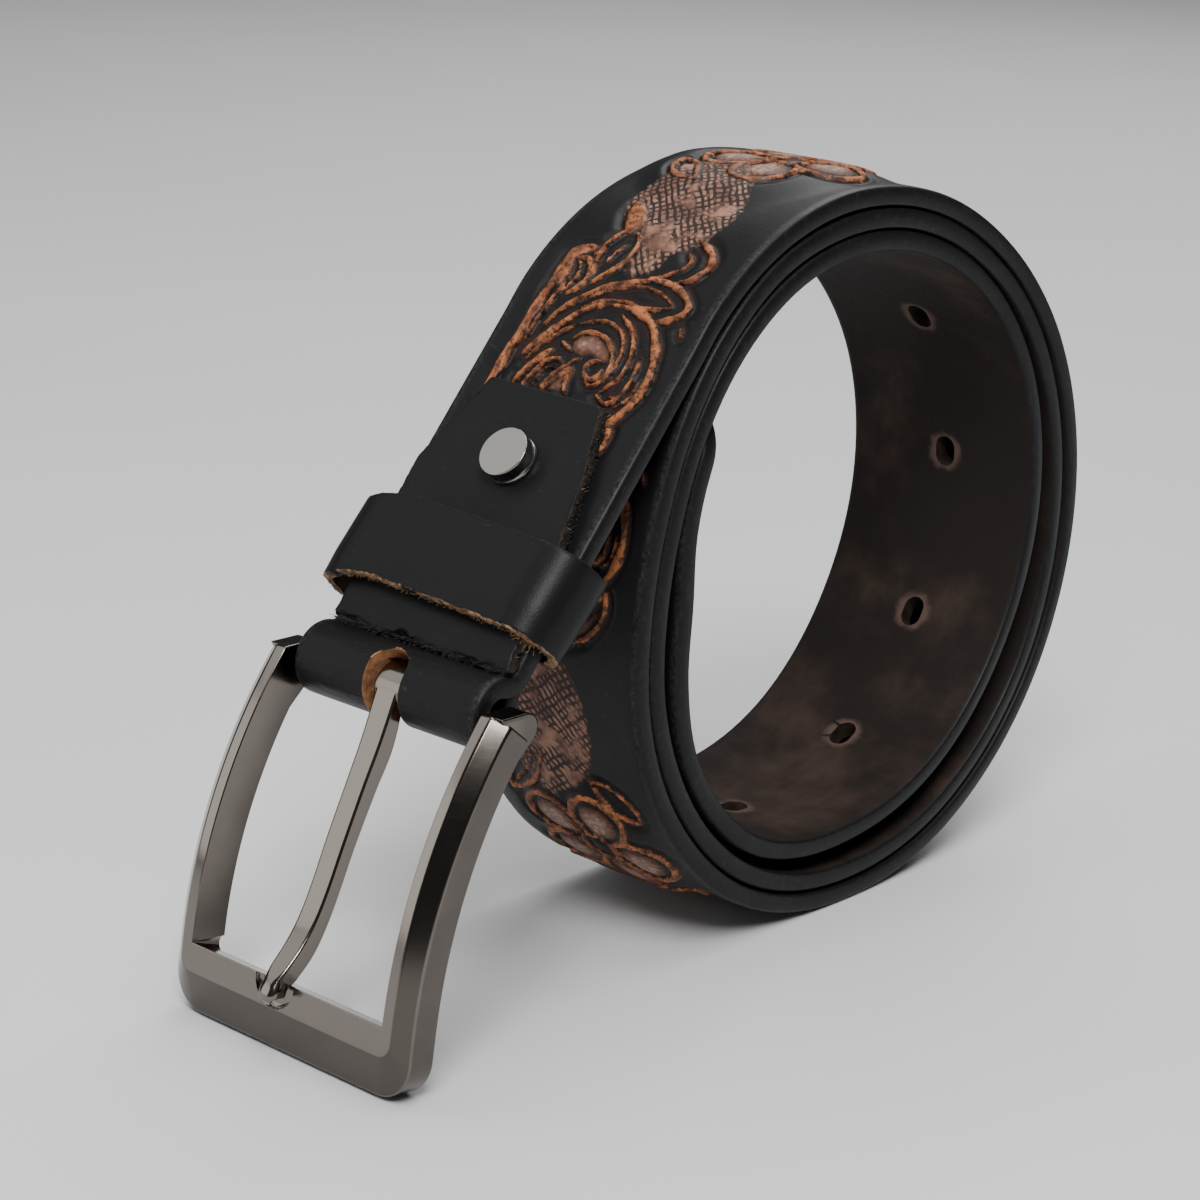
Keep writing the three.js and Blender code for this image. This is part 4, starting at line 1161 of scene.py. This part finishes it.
class StageSettings(bpy.types.PropertyGroup):
    """Light round the belt."""
    left: power_property("Left light", "Power of the wide, dim light high at the left", 1.15)
    low: power_property("Low light", "Power of the dim light low at the left", 1.5)
    key: power_property("Key light", "Power of the soft light above the camera", 11.0)
    top: power_property("Top light", "Power of the wide light above the floor", 9.0)
    back: power_property("Back light", "Power of the wide light behind the belt", 14.0)
    sky: bpy.props.FloatProperty(
        name="Surroundings", description="Brightness of the surroundings", default=0.10,
        min=0.0, subtype="FACTOR")


def settings():
    """The groups of settings for leather, metal and stage."""
    scene = bpy.context.scene
    return scene.belt_leather, scene.belt_metal, scene.belt_stage


def nickel_plate():
    """The plating of the rivet and the bar."""
    return shared("bright_nickel_plate", metal, settings()[1].nickel, 0.22, 500, 0.25)


class BELT_OT_strap(bpy.types.Operator):
    """Build the strap: fold, lead and coil with its tooled face and its holes"""
    bl_idname = "belt.strap"
    bl_label = "Strap"

    def execute(self, context):
        leather = settings()[0]
        raw = raw_leather("raw_cut_leather", leather.raw_dark, leather.raw)
        worn = raw_leather("worn_hole_leather", leather.flesh, leather.flesh_light)
        piece = strap_mesh(leather).piece("tooled_strap", [tooled_leather(leather), raw, worn])
        cutters = [
            prism("slot", slot_outline(), -SLOT_REACH, SLOT_REACH, on_lead, raw),
            prism("eye_room", round_outline(EYE_ROOM), TONGUE_X - EYE_ROOM_HALF,
                  TONGUE_X + EYE_ROOM_HALF, round_bar, raw),
            rivet_hole(-RIVET_REACH, RIVET_REACH, raw),
        ]
        cutters += [prism("size_hole", oval(HOLE_LENGTH, HOLE_WIDTH), 0,
                          STRAP_THICK + 2 * HOLE_OVERRUN, size_hole_place(angle), worn)
                    for angle in SIZE_HOLES]
        boolean(piece, cutters)
        piece.data.set_sharp_from_angle(angle=math.radians(STRAP_SHARP))
        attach(piece, "strap")
        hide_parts("strap")
        return {"FINISHED"}


class BELT_OT_cover_tab(bpy.types.Operator):
    """Build the plain tab on the face of the strap, with its frayed edges"""
    bl_idname = "belt.cover_tab"
    bl_label = "Cover tab"

    def execute(self, context):
        leather = settings()[0]
        plain = shared("plain_black_leather", plain_leather, leather)
        piece = tab_mesh().piece("plain_cover_tab", [plain])
        boolean(piece, [rivet_hole(0, RIVET_REACH, None)])
        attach(piece, "strap")
        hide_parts("cover_tab")
        # The black fibres are greyed: a painted highlight.
        black = shared("black_fibres", fibre_leather, BLACK_FIBRE_HIGHLIGHT)
        tan = shared("tan_fibres", fibre_leather, leather.fibre)
        low = [on_lead(x, TAB_LOW, TAB_BACK + v) for v, sign in ((0.5, 1), (1.3, -1))
               for x in np.linspace(-17, 18, 90)[::sign]]
        side = [on_lead(tab_side(u)[1] - 0.1, u, TAB_BACK + v) for v, sign in ((0.4, 1), (1.5, -1))
                for u in np.linspace(8, 49, 90)[::sign]]
        for name, line, count, length, lean, material in (
                ("tab_low_fibres", low, 1500, 1.7, DOWN + (0, -0.3, 0.2), black),
                ("tab_side_fibres", side, 520, 0.9, (0.8, 0.2, 0.1), black),
                ("tab_side_tan_fibres", side, 40, 0.9, (0.8, 0.3, 0.1), tan)):
            fringe(name, line, count, length, lean, material)
        return {"FINISHED"}


def tab_side(u):
    """Left and right edges of the tab at a height."""
    return [np.interp(u, *np.transpose(edge)) for edge in (TAB_LEFT, TAB_RIGHT)]


def tab_mesh():
    """The tab, lofted up the lead, with uneven edges."""
    ring = section(TAB_THICK, np.linspace(-TAB_FLAT, TAB_FLAT, 30),
                   np.linspace(TAB_FLAT, -TAB_FLAT, 12), *TAB_ROUNDING, TAB_HALF, TAB_HALF)
    rng = np.random.default_rng(4)
    strip = Strip("along", "across", "side", "raw")
    steps = np.concatenate([[0, 0.004, 0.012], np.linspace(0.03, 0.985, 60), [0.994, 1]])
    inset = np.concatenate([[0.5, 0.2, 0.05], np.zeros(60), [0.15, 0.45]])
    ragged = rng.normal(0, 1, (len(steps), len(ring)))
    for t, pull, rough in zip(steps, inset, ragged):
        w, dx, d, side = ring.T
        share = (w + 1) / 2
        u = (1 - t) * (TAB_LOW - 0.3 * share) + t * (TAB_HIGH - 0.6 * share)
        wave = 0.35 * np.sin(share * 19) + 0.2 * np.sin(share * 47 + 1)
        u = u + rough * (0.3 * smooth(0.03, 0, t) + 0.02) + wave * smooth(0.06, 0, t)
        left, right = tab_side(u)
        worn = np.where(w > 0.9, 0.16, 0.05) * rough * (np.abs(w) > 0.98)
        x = (left + right) / 2 + w * (right - left) / 2 + dx + worn
        v = TAB_BACK + TAB_THICK / 2 + d * (TAB_THICK / 2 - pull * 0.6) / (TAB_THICK / 2)
        y, z = lead_point(v, u)
        raw = np.where(w > 0, 0.07, 0.02) + 0.02 * (t < 0.02)
        strip.add(np.stack([x, y, z], axis=1), u, x, np.where(t in (0, 1), 1, side), raw)
    strip.faces = loft_faces(len(steps), len(ring))
    return strip


def fringe(name, line, count, length, lean, material):
    """Loose fibres standing on a line, made with Geometry Nodes and kept as a plain mesh."""
    mesh = bpy.data.meshes.new(name)
    edges = [(k, k + 1) for k in range(len(line) - 1)]
    mesh.from_pydata([tuple(np.asarray(p) * MM) for p in line], edges, [])
    piece = bpy.data.objects.new(name, mesh)
    bpy.context.scene.collection.objects.link(piece)
    tree, sockets = fringe_tree(material)
    modifier = piece.modifiers.new("fibres", "NODES")
    modifier.node_group = tree
    values = {"Count": count, "Lean": Vector(lean).normalized() * (length * MM),
              "Thickness": settings()[0].fibre_radius, "Seed": len(name)}
    for label, value in values.items():
        modifier[sockets[label]] = value
    applied(piece)
    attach(piece, "strap")
    return piece


def fringe_tree(material):
    """The node tree of the fibres, with the identifiers of its named inputs."""
    tree = bpy.data.node_groups.new("fringe", "GeometryNodeTree")
    sockets = {}
    for label, kind in (("Line", "Geometry"), ("Count", "Int"), ("Lean", "Vector"),
                        ("Thickness", "Float"), ("Seed", "Int")):
        made = tree.interface.new_socket(name=label, in_out="INPUT", socket_type=f"NodeSocket{kind}")
        sockets[label] = made.identifier
    tree.interface.new_socket(name="Fibres", in_out="OUTPUT", socket_type="NodeSocketGeometry")
    nodes = Nodes(tree)
    outputs = tree.nodes.new("NodeGroupInput").outputs
    line, count, lean, thickness, seed = (Value(nodes, outputs[label]) for label in sockets)
    curve = nodes.add("GeometryNodeMeshToCurve", {"Mesh": line})
    points = nodes.add("GeometryNodeResampleCurve", {"Curve": curve, "Count": count})
    bent = nodes.add("ShaderNodeVectorMath", {0: lean, 1: (0.9, 0.35, 0.6)}, operation="MULTIPLY")
    strand = nodes.add("GeometryNodeCurveQuadraticBezier",
                       {"Resolution": 4, "Start": (0, 0, 0), "Middle": bent, "End": lean})
    ring = nodes.add("GeometryNodeCurvePrimitiveCircle", {"Resolution": 3, "Radius": thickness})
    fibre = nodes.add("GeometryNodeCurveToMesh",
                      {"Curve": strand, "Profile Curve": ring, "Fill Caps": True})
    turn = nodes.add("FunctionNodeRandomValue",
                     {0: (-0.9, -0.9, -0.9), 1: (0.9, 0.9, 0.9), "Seed": seed},
                     data_type="FLOAT_VECTOR")
    size = nodes.add("FunctionNodeRandomValue", {2: 0.25, 3: 1.0, "Seed": seed}, out=1,
                     data_type="FLOAT")
    grown = nodes.add("GeometryNodeInstanceOnPoints",
                      {"Points": points, "Instance": fibre, "Rotation": turn, "Scale": size})
    real = nodes.add("GeometryNodeRealizeInstances", {"Geometry": grown})
    done = nodes.add("GeometryNodeSetMaterial", {"Geometry": real, "Material": material})
    tree.links.new(done.socket, tree.nodes.new("NodeGroupOutput").inputs[0])
    return tree, sockets


def loft_faces(rings, size, closed=False):
    """Faces between rings of equal size; closed joins the last to the first."""
    faces = []
    for i in range(rings if closed else rings - 1):
        n = (i + 1) % rings
        for j in range(size):
            k = (j + 1) % size
            faces.append([i * size + j, i * size + k, n * size + k, n * size + j])
    if not closed:
        faces += [list(range(size))[::-1], [(rings - 1) * size + j for j in range(size)]]
    return faces


class BELT_OT_keeper_loop(bpy.types.Operator):
    """Build the leather loop round the strap, with its raw lower edge"""
    bl_idname = "belt.keeper_loop"
    bl_label = "Keeper loop"

    def execute(self, context):
        leather = settings()[0]
        plain = shared("plain_black_leather", plain_leather, leather)
        piece = keeper_mesh().piece("leather_keeper", [plain])
        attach(piece, "strap")
        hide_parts("keeper_loop")
        tan = shared("tan_fibres", fibre_leather, leather.fibre)
        low = -KEEPER_WIDTH / 2
        edge = [keeper_place(x, v - 0.4, low + 0.15) for x, v in keeper_loop_line()[::3]]
        fringe("keeper_edge_fibres", edge, 520, 0.75, DOWN, tan)
        corner = [keeper_place(x, v - 0.5, low + 0.6) for x, v in KEEPER_CORNER]
        fringe("keeper_corner_fibres", corner, 130, 2.2, DOWN * 0.8 + (-0.3, -0.3, 0), tan)
        return {"FINISHED"}


def keeper_loop_line():
    """The keeper's middle line, closely spaced, closed and once round."""
    line = np.array(KEEPER_LINE, float)
    loop = through(np.vstack([line[-1], line, line[:2]]), 0.5)
    start = np.argmin(np.hypot(*(loop - line[0]).T))
    end = len(loop) - 1 - np.argmin(np.hypot(*(loop[::-1] - line[0]).T))
    return loop[start:end]


def keeper_place(x, v, across):
    """A point of the keeper: its skew and the droop of its left end put in."""
    turned = x - KEEPER_PIVOT_X
    c, k = unit(KEEPER_SKEW)
    u = KEEPER_LOW + KEEPER_WIDTH / 2 - turned * k + across * c
    u = u - KEEPER_DROOP * smooth(*KEEPER_SAG, x)
    y, z = lead_point(v, u)
    return np.stack(np.broadcast_arrays(KEEPER_PIVOT_X + turned * c + across * k, y, z), axis=-1)


def keeper_mesh():
    """The keeper's section runs round a closed middle line."""
    loop = keeper_loop_line()
    ahead = np.roll(loop, -1, axis=0) - np.roll(loop, 1, axis=0)
    ahead /= np.hypot(*ahead.T)[:, None]
    out = np.stack([ahead[:, 1], -ahead[:, 0]], axis=1)
    half = KEEPER_WIDTH / 2
    ring = section(KEEPER_LEATHER, np.linspace(-KEEPER_FLAT, KEEPER_FLAT, 18),
                   np.linspace(KEEPER_FLAT, -KEEPER_FLAT, 8), *KEEPER_ROUNDING, half, half)
    rng = np.random.default_rng(7)
    strip = Strip("along", "across", "side", "raw")
    gone = np.hypot(*np.diff(loop, axis=0).T)
    along = np.concatenate([[0], np.cumsum(gone)])
    for at, normal, s in zip(loop, out, along):
        w, dx, d, side = ring.T
        thin = 1 - 0.2 * smooth(-0.3, -1, w)
        ragged = rng.normal(0, 0.07, len(w)) * (np.abs(w) > 0.98)
        wave = 0.09 * math.sin(s * 0.9) + 0.06 * math.sin(s * 2.3)
        across = w * half + dx + ragged + wave * (w < -0.9)
        points = keeper_place(at[0] + d * thin * normal[0], at[1] + d * thin * normal[1], across)
        strip.add(points, s, across, side, np.where(w < 0, 1.0, 0.03))
    strip.faces = loft_faces(len(loop), len(ring), closed=True)
    return strip


class BELT_OT_rivet(bpy.types.Operator):
    """Build the rivet's cap with its post, and the burr behind"""
    bl_idname = "belt.rivet"
    bl_label = "Rivet"

    def execute(self, context):
        tab_face = TAB_BACK + TAB_THICK
        burr_face = FLAP[0][1] - STRAP_THICK / 2 - BURR_GAP
        cap = [(r, burr_face + h) for r, h in RIVET_POST] + [(r, tab_face + h) for r, h in RIVET_CAP]
        burr = [(r, burr_face + h) for r, h in RIVET_BURR]
        for name, profile, node in (("rivet_cap_and_post", cap, "rivet_cap"),
                                    ("rivet_burr", burr, "rivet_back")):
            piece = even_shading(turned_piece(name, profile, nickel_plate()))
            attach(piece, "strap")
            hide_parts(node)
        return {"FINISHED"}


def turned_piece(name, profile, material, sides=64):
    """A profile of (radius, height) turned about the rivet's axis."""
    ring = []
    points, faces = [], []
    for radius, height in profile:
        outline = round_outline(radius, sides if radius else 1, (RIVET_X, RIVET_U))
        ring.append(list(range(len(points), len(points) + len(outline))))
        points += [on_lead(a, b, height) for a, b in outline]
    if profile[0][0]:
        ring.append(ring[0])
    for low, high in zip(ring, ring[1:]):
        for j in range(sides):
            k = (j + 1) % sides
            face = [low[j % len(low)], low[k % len(low)], high[k % len(high)], high[j % len(high)]]
            faces.append(list(dict.fromkeys(face)))
    return facing_out(new_mesh(name, points, faces, [material], sharp=TURNED_SHARP))


def bow_point(x, w, d):
    """A point of the bowed frame: w down it from the bar, d in from its face."""
    bent = min(w, WINDOW_LENGTH)
    turn = BOW_TOP + bent / BOW_RADIUS
    r = BOW_RADIUS - d
    straight = w - bent
    return (x, BAR_Y + BOW_Y + r * math.cos(turn) - straight * math.sin(turn),
            BAR_Z + BOW_Z + r * math.sin(turn) + straight * math.cos(turn))


def corner_reach(beta, across, down, radius):
    """Distance from a sharp inner corner to a rounded outer one, in direction beta."""
    c, s = math.cos(beta), math.sin(beta)
    if s * across <= c * (down - radius):
        return across / c
    cx, cy = across - radius, down - radius
    along = cx * c + cy * s
    return along + math.sqrt(radius * radius - cx * cx - cy * cy + along * along)


def eased(corners, radii, steps=3):
    """A closed outline of (o, d) corners with each corner rounded off."""
    made = []
    n = len(corners)
    for k, (corner, radius) in enumerate(zip(corners, radii)):
        here = np.array(corner, float)
        before = np.array(corners[k - 1], float) - here
        after = np.array(corners[(k + 1) % n], float) - here
        cut_a = min(radius, np.linalg.norm(before) * 0.45)
        cut_b = min(radius, np.linalg.norm(after) * 0.45)
        a = here + before / np.linalg.norm(before) * cut_a
        b = here + after / np.linalg.norm(after) * cut_b
        for t in np.linspace(0, 1, steps + 1):
            made.append((1 - t) ** 2 * a + 2 * t * (1 - t) * here + t ** 2 * b)
    return made


def frame_ring(x, w, beta, flat, width, slope, inset=0.0):
    """One section of the frame, standing out in direction beta from the window's edge."""
    side, down = math.cos(beta), math.sin(beta)
    corners = [(inset, inset), (flat, inset), (width - inset, RIM_DEPTH), (width - inset, FRAME_DEPTH),
               (slope + inset, FRAME_DEPTH)]
    ring = eased(corners, FRAME_EDGES)
    return [bow_point(x + o * side, w + o * down, d) for o, d in ring]


def frame_mesh():
    """The frame without its lugs: one leg, the rail, and the other leg."""
    leg = [*LEG_END, *((w, 0) for w in np.linspace(2, WINDOW_LENGTH, 36)[:-1])]
    rings = [frame_ring(WINDOW_HALF, w, 0, LEG_FLAT, LEG_WIDTH, 0, inset) for w, inset in leg]
    for beta in np.linspace(0, math.pi / 2, 33):
        flat = corner_reach(beta, LEG_FLAT, RAIL_FLAT, RIDGE_CORNER)
        width = corner_reach(beta, LEG_WIDTH, RAIL_WIDTH, OUTER_CORNER)
        slope = RAIL_SLOPE * math.sin(beta) ** 2
        rings.append(frame_ring(WINDOW_HALF, WINDOW_LENGTH, beta, flat, width, slope))
    for inward in (1.6, 5, 10, 15, WINDOW_HALF):
        rings.append(frame_ring(WINDOW_HALF - inward, WINDOW_LENGTH, math.pi / 2, RAIL_FLAT,
                                RAIL_WIDTH, RAIL_SLOPE))
    rings += [[(-x, y, z) for x, y, z in ring] for ring in rings[-2::-1]]
    size = len(rings[0])
    points = [p for ring in rings for p in ring]
    return points, loft_faces(len(rings), size), {"polish": FRAME_POLISH_AND_SHADE * len(rings)}


def lug_outline():
    """The side of a lug, round the bar."""
    places = [bow_point(0, *place) for place in (LUG_CORNER, LUG_FRONT, LUG_BACK)]
    outline = [(y - BAR_Y, z - BAR_Z) for _, y, z in places]
    for t in np.radians(np.linspace(*LUG_ARC, 24)):
        outline.append((LUG_RADIUS * math.cos(t), LUG_RADIUS * math.sin(t)))
    return outline


def even_shading(piece):
    """Keeps flat facets flat to the eye, right up to their eased edges."""
    mesh = piece.data
    mesh.polygons.foreach_set("use_smooth", [True] * len(mesh.polygons))
    mesh.set_sharp_from_angle(angle=math.radians(METAL_SHARP))
    modifier = piece.modifiers.new("shading", "WEIGHTED_NORMAL")
    modifier.keep_sharp = True
    modifier.weight = SHADING_WEIGHT
    return applied(piece)


def rounded(piece, width, segments):
    """The piece with its sharp edges rounded by a width in mm."""
    modifier = piece.modifiers.new("edge", "BEVEL")
    modifier.width = width * MM
    modifier.segments = segments
    modifier.limit_method = "ANGLE"
    modifier.angle_limit = math.radians(ROUNDED_FROM)
    return applied(piece)


class BELT_OT_buckle(bpy.types.Operator):
    """Build the bowed frame of the buckle and its bar"""
    bl_idname = "belt.buckle"
    bl_label = "Buckle frame and bar"

    def execute(self, context):
        values = settings()[1]
        # The frame's polish mark paints shade on its outer chamfer.
        plate = shared("rubbed_gunmetal_plate", metal, values.gunmetal, values.polish, 420, 0.12,
                       "polish")
        points, faces, marks = frame_mesh()
        piece = facing_out(new_mesh("buckle_frame_bow", points, faces, [plate], marks))
        lugs = []
        for hand in (1, -1):
            lug = prism("lug", lug_outline(), WINDOW_HALF + 0.02, WINDOW_HALF + LUG_WIDTH,
                        lambda a, b, h, hand=hand: (hand * h, BAR_Y + a, BAR_Z + b), plate)
            lugs.append(rounded(lug, 0.3, 2))
        boolean(piece, lugs, "UNION")
        bore_half = BAR_HALF + BORE_RADIUS - BAR_RADIUS
        bore = prism("bore", round_outline(BORE_RADIUS, 40), -bore_half, bore_half, round_bar, plate)
        boolean(piece, [bore, notch_cutter(plate)])
        even_shading(piece)
        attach(piece, "buckle")
        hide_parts("buckle_frame")
        bar = prism("buckle_bar_rod", round_outline(BAR_RADIUS, 40), -BAR_HALF, BAR_HALF, round_bar,
                    nickel_plate(), sharp=TURNED_SHARP)
        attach(bar, "buckle")
        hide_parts("buckle_bar")
        return {"FINISHED"}


def notch_cutter(material):
    """The recess in the rail, flaring a little towards the face."""
    edge = np.array(bow_point(0, WINDOW_LENGTH, 0))
    below = np.array(bow_point(0, WINDOW_LENGTH + 1, 0))
    up = (edge - below) / np.linalg.norm(edge - below)
    off = np.cross([1, 0, 0], up)
    drop = NOTCH_DOWN - NOTCH_HALF
    points = []
    for grow, height in NOTCH_FLARE:
        r = NOTCH_HALF + grow
        bottom = [(r * math.cos(t), -drop + r * math.sin(t))
                  for t in np.linspace(math.pi, 2 * math.pi, 22)[1:-1]]
        outline = [(-r, NOTCH_TOP), (-r, -drop), *bottom, (r, -drop), (r, NOTCH_TOP)]
        points += [tuple(edge + (NOTCH_X + a, 0, 0) + up * b + off * height) for a, b in outline]
    faces = loft_faces(len(NOTCH_FLARE), len(outline))
    return facing_out(new_mesh("notch", points, faces, [material]))


class BELT_OT_tongue(bpy.types.Operator):
    """Build the tongue with its eye and its rounded tip"""
    bl_idname = "belt.tongue"
    bl_label = "Tongue"

    def execute(self, context):
        values = settings()[1]
        plate = shared("gunmetal_plate", metal, values.gunmetal, values.polish, 420, 0.12)
        points, faces = tongue_mesh()
        piece = facing_out(new_mesh("tongue_pin", points, faces, [plate]))
        eye = prism("eye", round_outline(EYE_OUTER, 56), TONGUE_X - EYE_HALF, TONGUE_X + EYE_HALF,
                    round_bar, plate)
        boolean(piece, [rounded(eye, 0.35, 3)], "UNION")
        bore = prism("eye_bore", round_outline(BORE_RADIUS, 40), -BAR_HALF, BAR_HALF, round_bar, plate)
        boolean(piece, [bore])
        even_shading(piece)
        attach(piece, "tongue")
        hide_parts("tongue")
        return {"FINISHED"}


def tongue_mesh():
    """The tongue's bent blade, lofted through its sections from the eye to the blunt tip."""
    rows = through(TONGUE_SECTIONS)
    rings = []
    for k, (y, z, depth, width) in enumerate(rows):
        before, after = rows[max(k - 1, 0)], rows[min(k + 1, len(rows) - 1)]
        length = math.hypot(after[0] - before[0], after[1] - before[1])
        along = ((after[0] - before[0]) / length, (after[1] - before[1]) / length)
        back = (-along[1], along[0])
        half = width / 2
        corners = [(-half, 0), (half, 0), (half, depth), (-half, depth)]
        ease = min(TONGUE_EASE + TIP_EASE * float(smooth(*TIP_SPAN, z)), half * 0.75)
        outline = eased(corners, (ease, ease, ease * 0.8, ease * 0.8), 4)
        rings.append([(TONGUE_X + x, BAR_Y + y + d * back[0], BAR_Z + z + d * back[1])
                      for x, d in outline])
    points = [p for ring in rings for p in ring]
    return points, loft_faces(len(rings), len(rings[0]))


class BELT_OT_stage(bpy.types.Operator):
    """Set the pale floor, the soft studio lights and the camera"""
    bl_idname = "belt.stage"
    bl_label = "Stage"

    def execute(self, context):
        values = settings()[2]
        f = Finish("pale_floor")
        pale = f.done(Base_Color=f.mix(f.noise(f.place(), 6, 4), *FLOOR_TONES), Roughness=0.75)
        corners = [(x * FLOOR_HALF, y * FLOOR_HALF, 0) for x, y in ((-1, -1), (1, -1), (1, 1), (-1, 1))]
        new_mesh("floor", corners, [[0, 1, 2, 3]], [pale])
        world = bpy.data.worlds.new("studio")
        world.use_nodes = True
        sky = world.node_tree.nodes["Background"]
        sky.inputs["Color"].default_value = (*SKY_TONE, 1)
        sky.inputs["Strength"].default_value = values.sky
        context.scene.world = world
        for name, place, target, size in LIGHTS:
            soft_light(name, place, target, size, getattr(values, name))
        aim_camera(context)
        return {"FINISHED"}


def soft_light(name, place, target, size, power):
    """A square light that faces its target."""
    light = bpy.data.lights.new(name, "AREA")
    light.shape = "SQUARE"
    light.size = size
    light.energy = power
    lamp = bpy.data.objects.new(name, light)
    lamp.location = place
    lamp.rotation_euler = (Vector(target) - Vector(place)).to_track_quat("-Z", "Y").to_euler()
    bpy.context.scene.collection.objects.link(lamp)


def aim_camera(context):
    """The camera of the photograph."""
    back = Vector(CAMERA_BACK).normalized()
    right = Vector((0, 0, 1)).cross(back).normalized()
    up = back.cross(right)
    c, s = unit(CAMERA_ROLL)
    data = bpy.data.cameras.new("camera")
    data.lens = CAMERA_LENS
    data.sensor_width = CAMERA_SENSOR
    data.clip_start = 0.01
    camera = bpy.data.objects.new("camera", data)
    axes = Matrix((c * right + s * up, -s * right + c * up, back)).transposed()
    camera.matrix_world = Matrix.Translation(Vector(CAMERA_PLACE)) @ axes.to_4x4()
    context.scene.collection.objects.link(camera)
    context.scene.camera = camera


OPERATORS = (BELT_OT_strap, BELT_OT_cover_tab, BELT_OT_keeper_loop, BELT_OT_rivet,
             BELT_OT_buckle, BELT_OT_tongue, BELT_OT_stage)


class BELT_PT_panel(bpy.types.Panel):
    """The belt's pieces and finishes"""
    bl_label = "Western belt"
    bl_idname = "BELT_PT_panel"
    bl_space_type = "VIEW_3D"
    bl_region_type = "UI"
    bl_category = "Belt"

    def draw(self, context):
        for group in settings():
            box = self.layout.box()
            for name in group.__annotations__:
                box.prop(group, name)
        for operator in OPERATORS:
            self.layout.operator(operator.bl_idname)


GROUPS = {"belt_leather": LeatherSettings, "belt_metal": MetalSettings, "belt_stage": StageSettings}


def register():
    for cls in (*GROUPS.values(), *OPERATORS, BELT_PT_panel):
        bpy.utils.register_class(cls)
    for name, group in GROUPS.items():
        setattr(bpy.types.Scene, name, bpy.props.PointerProperty(type=group))


def unregister():
    for name in GROUPS:
        delattr(bpy.types.Scene, name)
    for cls in (BELT_PT_panel, *OPERATORS[::-1], *GROUPS.values()):
        bpy.utils.unregister_class(cls)


def main():
    register()
    for operator in OPERATORS:
        getattr(bpy.ops.belt, operator.bl_idname.split(".")[1])()


if __name__ == "__main__":
    main()
